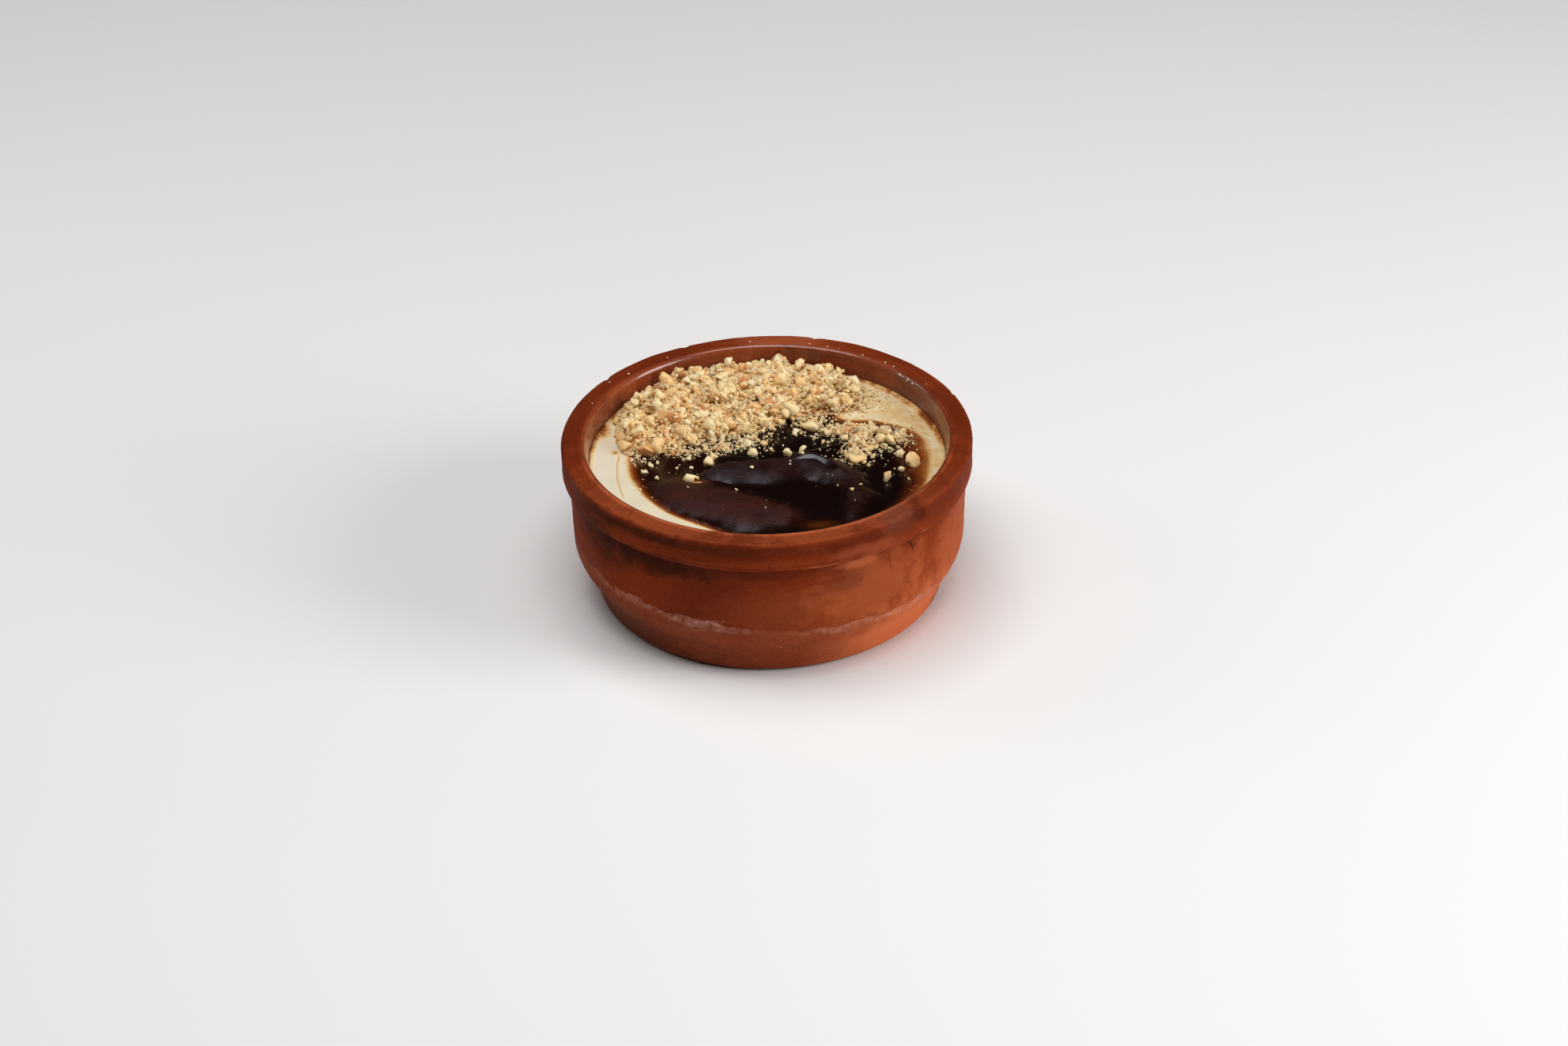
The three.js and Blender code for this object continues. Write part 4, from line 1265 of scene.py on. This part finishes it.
def nut_shape(kind, seed):
    """One broken piece of nut, about 1 long: a round kernel shaken, cut by flat breaks and worn.

    Returns its points, its triangles and, for each triangle, 1 where the kernel's outside is left."""
    deselect_all()
    bpy.ops.mesh.primitive_ico_sphere_add(subdivisions=kind["divided"], radius=KERNEL_RADIUS)
    shape = bpy.context.object
    draw = np.random.default_rng(seed)
    bpy.ops.object.mode_set(mode="EDIT")
    bpy.ops.transform.vertex_random(offset=kind["shake"], seed=seed)
    breaks = []
    for _ in range(kind["breaks"]):
        way = draw.normal(size=3)
        way /= np.linalg.norm(way)
        depth = draw.uniform(*BREAK_DEPTHS)
        bpy.ops.mesh.select_all(action="SELECT")
        bpy.ops.mesh.bisect(plane_co=way * depth, plane_no=way, use_fill=True, clear_outer=True)
        breaks.append(way)
    bpy.ops.mesh.select_all(action="SELECT")
    bpy.ops.mesh.quads_convert_to_tris()
    bpy.ops.mesh.vertices_smooth(factor=kind["rounding"])
    bpy.ops.transform.resize(value=(1, draw.uniform(*KERNEL_WIDTHS), draw.uniform(*KERNEL_HEIGHTS)))
    bpy.ops.object.mode_set(mode="OBJECT")
    mesh = shape.data
    points = np.array([v.co for v in mesh.vertices])
    points -= (points.max(0) + points.min(0)) / 2
    points /= np.ptp(points, axis=0).max()
    triangles = np.array([p.vertices for p in mesh.polygons])
    normals = np.array([p.normal for p in mesh.polygons])
    outside = np.ones(len(triangles))
    for way in breaks:
        outside[normals @ way > BREAK_FACING] = 0
    bpy.data.objects.remove(shape)
    bpy.data.meshes.remove(mesh)
    return points, triangles, outside


def random_turns(count):
    """Seeded rotation matrices, spread over all directions."""
    quaternion = random.normal(size=(count, 4))
    w, x, y, z = (quaternion / np.linalg.norm(quaternion, axis=1, keepdims=True)).T
    return np.stack([
        np.stack([1 - 2 * (y * y + z * z), 2 * (x * y - z * w), 2 * (x * z + y * w)], 1),
        np.stack([2 * (x * y + z * w), 1 - 2 * (x * x + z * z), 2 * (y * z - x * w)], 1),
        np.stack([2 * (x * z - y * w), 2 * (y * z + x * w), 1 - 2 * (x * x + y * y)], 1),
    ], 1)


def scatter_mesh(name, shapes, laid, material, sharp_angle):
    """One mesh of many nut pieces, each a turned and sized copy of one of the shapes.

    Each row laid holds a place, a length, a tone and how much brown skin is left."""
    turns = random_turns(len(laid))
    kinds = random.integers(len(shapes), size=len(laid))
    points, triangles, tones, skins = [], [], [], []
    offset = 0
    for (x, y, z, length, tone, skin), turn, kind in zip(laid, turns, kinds):
        shape_points, shape_triangles, outside = shapes[kind]
        points.append(shape_points @ turn.T * length + (x, y, z))
        triangles.append(shape_triangles + offset)
        tones.append(np.full(len(shape_triangles), tone))
        skins.append(outside * skin)
        offset += len(shape_points)
    mesh = bpy.data.meshes.new(name)
    mesh.from_pydata((np.concatenate(points) * MM).tolist(), [], np.concatenate(triangles).tolist())
    mesh.polygons.foreach_set("use_smooth", np.ones(len(mesh.polygons), bool))
    mesh.set_sharp_from_angle(angle=math.radians(sharp_angle))
    piece = bpy.data.objects.new(name, mesh)
    bpy.context.collection.objects.link(piece)
    set_attribute(piece, "tone", np.concatenate(tones), "FACE")
    set_attribute(piece, "nut_skin", np.concatenate(skins), "FACE")
    mesh.materials.append(material)
    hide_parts("hazelnut_heap")
    return piece


class Pile:
    """Heights of what lies in the bowl, on a grid seen from above, so that each piece rests on others."""

    CELL = 0.25
    UNDER_SHARE = 0.36  # of a piece's length, how far what lies under it reaches from its middle
    SEAT_SHARE = 0.25  # how far its middle lies over that
    DOME_SHARE = 0.3  # how far its top stands over its middle for the pieces that come after
    TOP_SHARE = 0.45  # how far its top may stand over its middle below the ceiling
    DEEPEST = 1.2
    SMOOTHINGS = 6

    def __init__(self):
        count = int(2 * CAVITY_RADIUS / self.CELL) + 1
        self.line = np.linspace(-CAVITY_RADIUS, CAVITY_RADIUS, count)
        x, y = np.meshgrid(self.line, self.line, indexing="ij")
        flat_x, flat_y = x.ravel(), y.ravel()
        bare = skin_height(flat_x, flat_y, skin_cover(flat_x, flat_y))
        mound = np.where(heap_share(flat_x, flat_y) < CORE_SHARE, heap_height(flat_x, flat_y), 0)
        self.height = (PUDDING_LEVEL + np.maximum(bare, mound)).reshape(x.shape)

    def rest(self, x, y, length, ceiling):
        """Lays a piece down at a place, pressed in below the ceiling, and returns its middle's height."""
        reach = self.UNDER_SHARE * length
        seat = self.SEAT_SHARE * length
        highest = ceiling - self.TOP_SHARE * length
        low_x, high_x = np.searchsorted(self.line, (x - reach, x + reach))
        low_y, high_y = np.searchsorted(self.line, (y - reach, y + reach))
        window = self.height[low_x:high_x + 1, low_y:high_y + 1]
        dx = self.line[low_x:high_x + 1, None] - x
        dy = self.line[None, low_y:high_y + 1] - y
        share = (dx * dx + dy * dy) / reach**2
        under = share < 1
        if not under.any():
            return min(float(window.mean()) + seat, highest)
        middle = min(np.quantile(window[under], 0.5) + seat, highest)
        dome = middle + self.DOME_SHARE * length * np.sqrt(np.clip(1 - share, 0, 1))
        np.copyto(window, np.maximum(window, dome), where=under)
        return middle

    def hollows(self, count):
        """Seeded places in the gaps of the heap, where the pile is lower than round about."""
        around = self.height
        for _ in range(self.SMOOTHINGS):
            around = (around + np.roll(around, 1, 0) + np.roll(around, -1, 0)) / 3
            around = (around + np.roll(around, 1, 1) + np.roll(around, -1, 1)) / 3
        depth = np.clip(around - self.height, 0, self.DEEPEST)
        x, y = (grid.ravel() for grid in np.meshgrid(self.line, self.line, indexing="ij"))
        on_heap = (heap_share(x, y) < CORE_SHARE) & (np.hypot(x, y) < CAVITY_RADIUS - HOLLOWS_OFF_WALL)
        share = depth.ravel() * on_heap
        chosen = random.choice(len(x), count, replace=False, p=share / share.sum())
        return x[chosen], y[chosen]


def thinning(bits, distance):
    """How thickly bits lie at distances, from how thickly they start and how fast they thin out."""
    thick, reach = bits
    return thick * np.exp(-distance / reach)


def bit_weight(x, y):
    """How thickly small bits lie at places off the heap: most by the heap's front and on the drifts."""
    beyond = np.maximum(heap_share(x, y) - 1, 0) * HEAP_REACH
    bare_x, bare_half, bare_share = BARE_FRONT
    bare = 1 - bare_share * np.exp(-(((x - bare_x) / bare_half) ** 2))
    weight = bare * thinning(FRONT_BITS, beyond) + thinning(FAR_BITS, beyond)
    on_drift, drift_width = DRIFT_BITS
    for drift in DRIFTS:
        distance = near_line(x, y, spline(drift["line"], 24))[0]
        weight += on_drift * np.exp(-((distance / drift_width) ** 2)) + thinning(ROUND_DRIFT_BITS, distance)
    weight += spots_at(DUSTY_PLACES, x, y)
    clumps = np.sin(1.9 * x + 1.3 * np.sin(1.1 * y)) * np.sin(1.7 * y + 0.9 * np.sin(0.8 * x))
    return weight * (0.6 + 0.5 * clumps) * smooth_step(x, *BARE_LEFT)


def clear_of_nuts(x, y):
    """True at places that leave the single nuts in sight."""
    clear = np.ones(len(x), bool)
    for nut_x, nut_y, length, _ in LOOSE_NUTS:
        clear &= np.hypot(x - nut_x, y - nut_y) > CLEAR_SHARE * length
    return clear


def heap_places(count):
    """Seeded places spread over the heap's outline."""
    x = random.uniform(*HEAP_FIELD_X, HEAP_TRIES * count)
    y = random.uniform(*HEAP_FIELD_Y, HEAP_TRIES * count)
    keep = (heap_share(x, y) < 1) & (np.hypot(x, y) < CAVITY_RADIUS - HEAP_OFF_WALL)
    chosen = np.flatnonzero(keep & clear_of_nuts(x, y))[:count]
    return x[chosen], y[chosen]


def skin_places(count):
    """Seeded places off the heap, thicker where the drifts are."""
    x = random.uniform(*SKIN_FIELD_X, SKIN_TRIES * count)
    y = random.uniform(*SKIN_FIELD_Y, SKIN_TRIES * count)
    keep = random.uniform(0, 1, len(x)) < bit_weight(x, y)
    keep &= (heap_share(x, y) >= 1) & (np.hypot(x, y) < CAVITY_RADIUS - SKIN_BITS_OFF_WALL)
    chosen = np.flatnonzero(keep & clear_of_nuts(x, y))[:count]
    return x[chosen], y[chosen]


def nut_tones(count, pale):
    """A tone for each piece: mostly pale, some toasted, a few brown."""
    toasted, brown = (1 - BROWN_SHARE) * (1 - pale), BROWN_SHARE * (1 - pale)
    kinds = random.choice(3, size=count, p=[pale, toasted, brown])
    return random.uniform(TONES_LIGHTEST[kinds], TONES_DARKEST[kinds])


def make_nuts(material):
    """All chopped nuts, laid one on another from the skin up, as one piece for each kind."""
    shapes = {name: [nut_shape(kind, seed) for seed in kind["seeds"]] for name, kind in NUT_KINDS.items()}
    pile = Pile()
    laid = {name: [] for name in NUT_KINDS}

    def lay(name, x, y, lengths, tones):
        skinned = random.uniform(0, 1, len(x)) < SKINNED_SHARE
        skins = np.where(skinned, random.uniform(*SKIN_LEFT, len(x)), 0)
        on_heap = heap_share(x, y) < 1
        ceilings = np.where(on_heap, BOWL_HEIGHT - HEAP_BELOW_RIM, PUDDING_LEVEL + DRIFT_HEIGHT)
        for px, py, length, tone, skin, ceiling in zip(x, y, lengths, tones, skins, ceilings):
            middle = pile.rest(px, py, length, ceiling)
            room = CAVITY_RADIUS - PIECE_OFF_WALL - length / 2
            pull = min(1.0, room / math.hypot(px, py))
            laid[name].append((px * pull, py * pull, middle, length, tone, skin))

    def scatter(name, places, lengths, pale=None):
        x, y = places
        sizes = random.triangular(*lengths, len(x))
        lay(name, x, y, sizes, nut_tones(len(x), NUT_KINDS[name]["pale"] if pale is None else pale))

    def lay_drifts(spread, shortest, longest):
        for drift in DRIFTS:
            line = spline(drift["line"], drift["chunks"])[:-1]
            shift_x, shift_y = random.uniform(-spread, spread, (2, len(line)))
            sizes = random.uniform(shortest, longest, len(line))
            tones = nut_tones(len(line), NUT_KINDS["chunks"]["pale"])
            lay("chunks", line[:, 0] + shift_x, line[:, 1] + shift_y, sizes, tones)

    lay("chunks", *np.array(LOOSE_NUTS).T)
    lay_drifts(**DRIFT_UNDER)
    for count, lengths in HEAP_LAYERS:
        scatter("grains", heap_places(LAYER_GRAINS[0]), LAYER_GRAINS[1])
        scatter("chunks", heap_places(count), lengths)
    lay("chunks", *np.array(TOP_NUTS).T)
    # Darker grains in the gaps of the heap, as painted shade
    for count, lengths in HOLLOW_GRAINS:
        scatter("grains", pile.hollows(count), lengths, HOLLOW_PALE)
    scatter("grains", heap_places(TOP_GRAINS[0]), TOP_GRAINS[1])
    scatter("grains", skin_places(SKIN_GRAINS[0]), SKIN_GRAINS[1])
    lay_drifts(**DRIFT_OVER)
    scatter("dust", heap_places(HEAP_DUST[0]), HEAP_DUST[1], NUT_KINDS["grains"]["pale"])
    scatter("dust", skin_places(SKIN_DUST[0]), SKIN_DUST[1])
    for x, y in RIM_SPECKS:
        laid["dust"].append((x, y, BOWL_HEIGHT, random.uniform(*RIM_SPECK_LENGTHS), RIM_SPECK_TONE, 0))
    return [
        scatter_mesh("nut_" + name, shapes[name], np.array(laid[name]), material, kind["sharp"])
        for name, kind in NUT_KINDS.items()
    ]


def main():
    make_stage()
    grain = grain_group()
    pieces = [make_bowl(clay_material(stain_group(), scratch_group(), grain), glaze_material(grain))]
    pieces.append(make_pudding(pudding_material(grain)))
    pieces.append(make_heap_core(nut_material("packed_hazelnut", grain, CORE_SHADE)))
    pieces += make_nuts(nut_material("chopped_hazelnut", grain, NUT_SHADE))
    for piece in pieces:
        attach(piece, "root")


main()
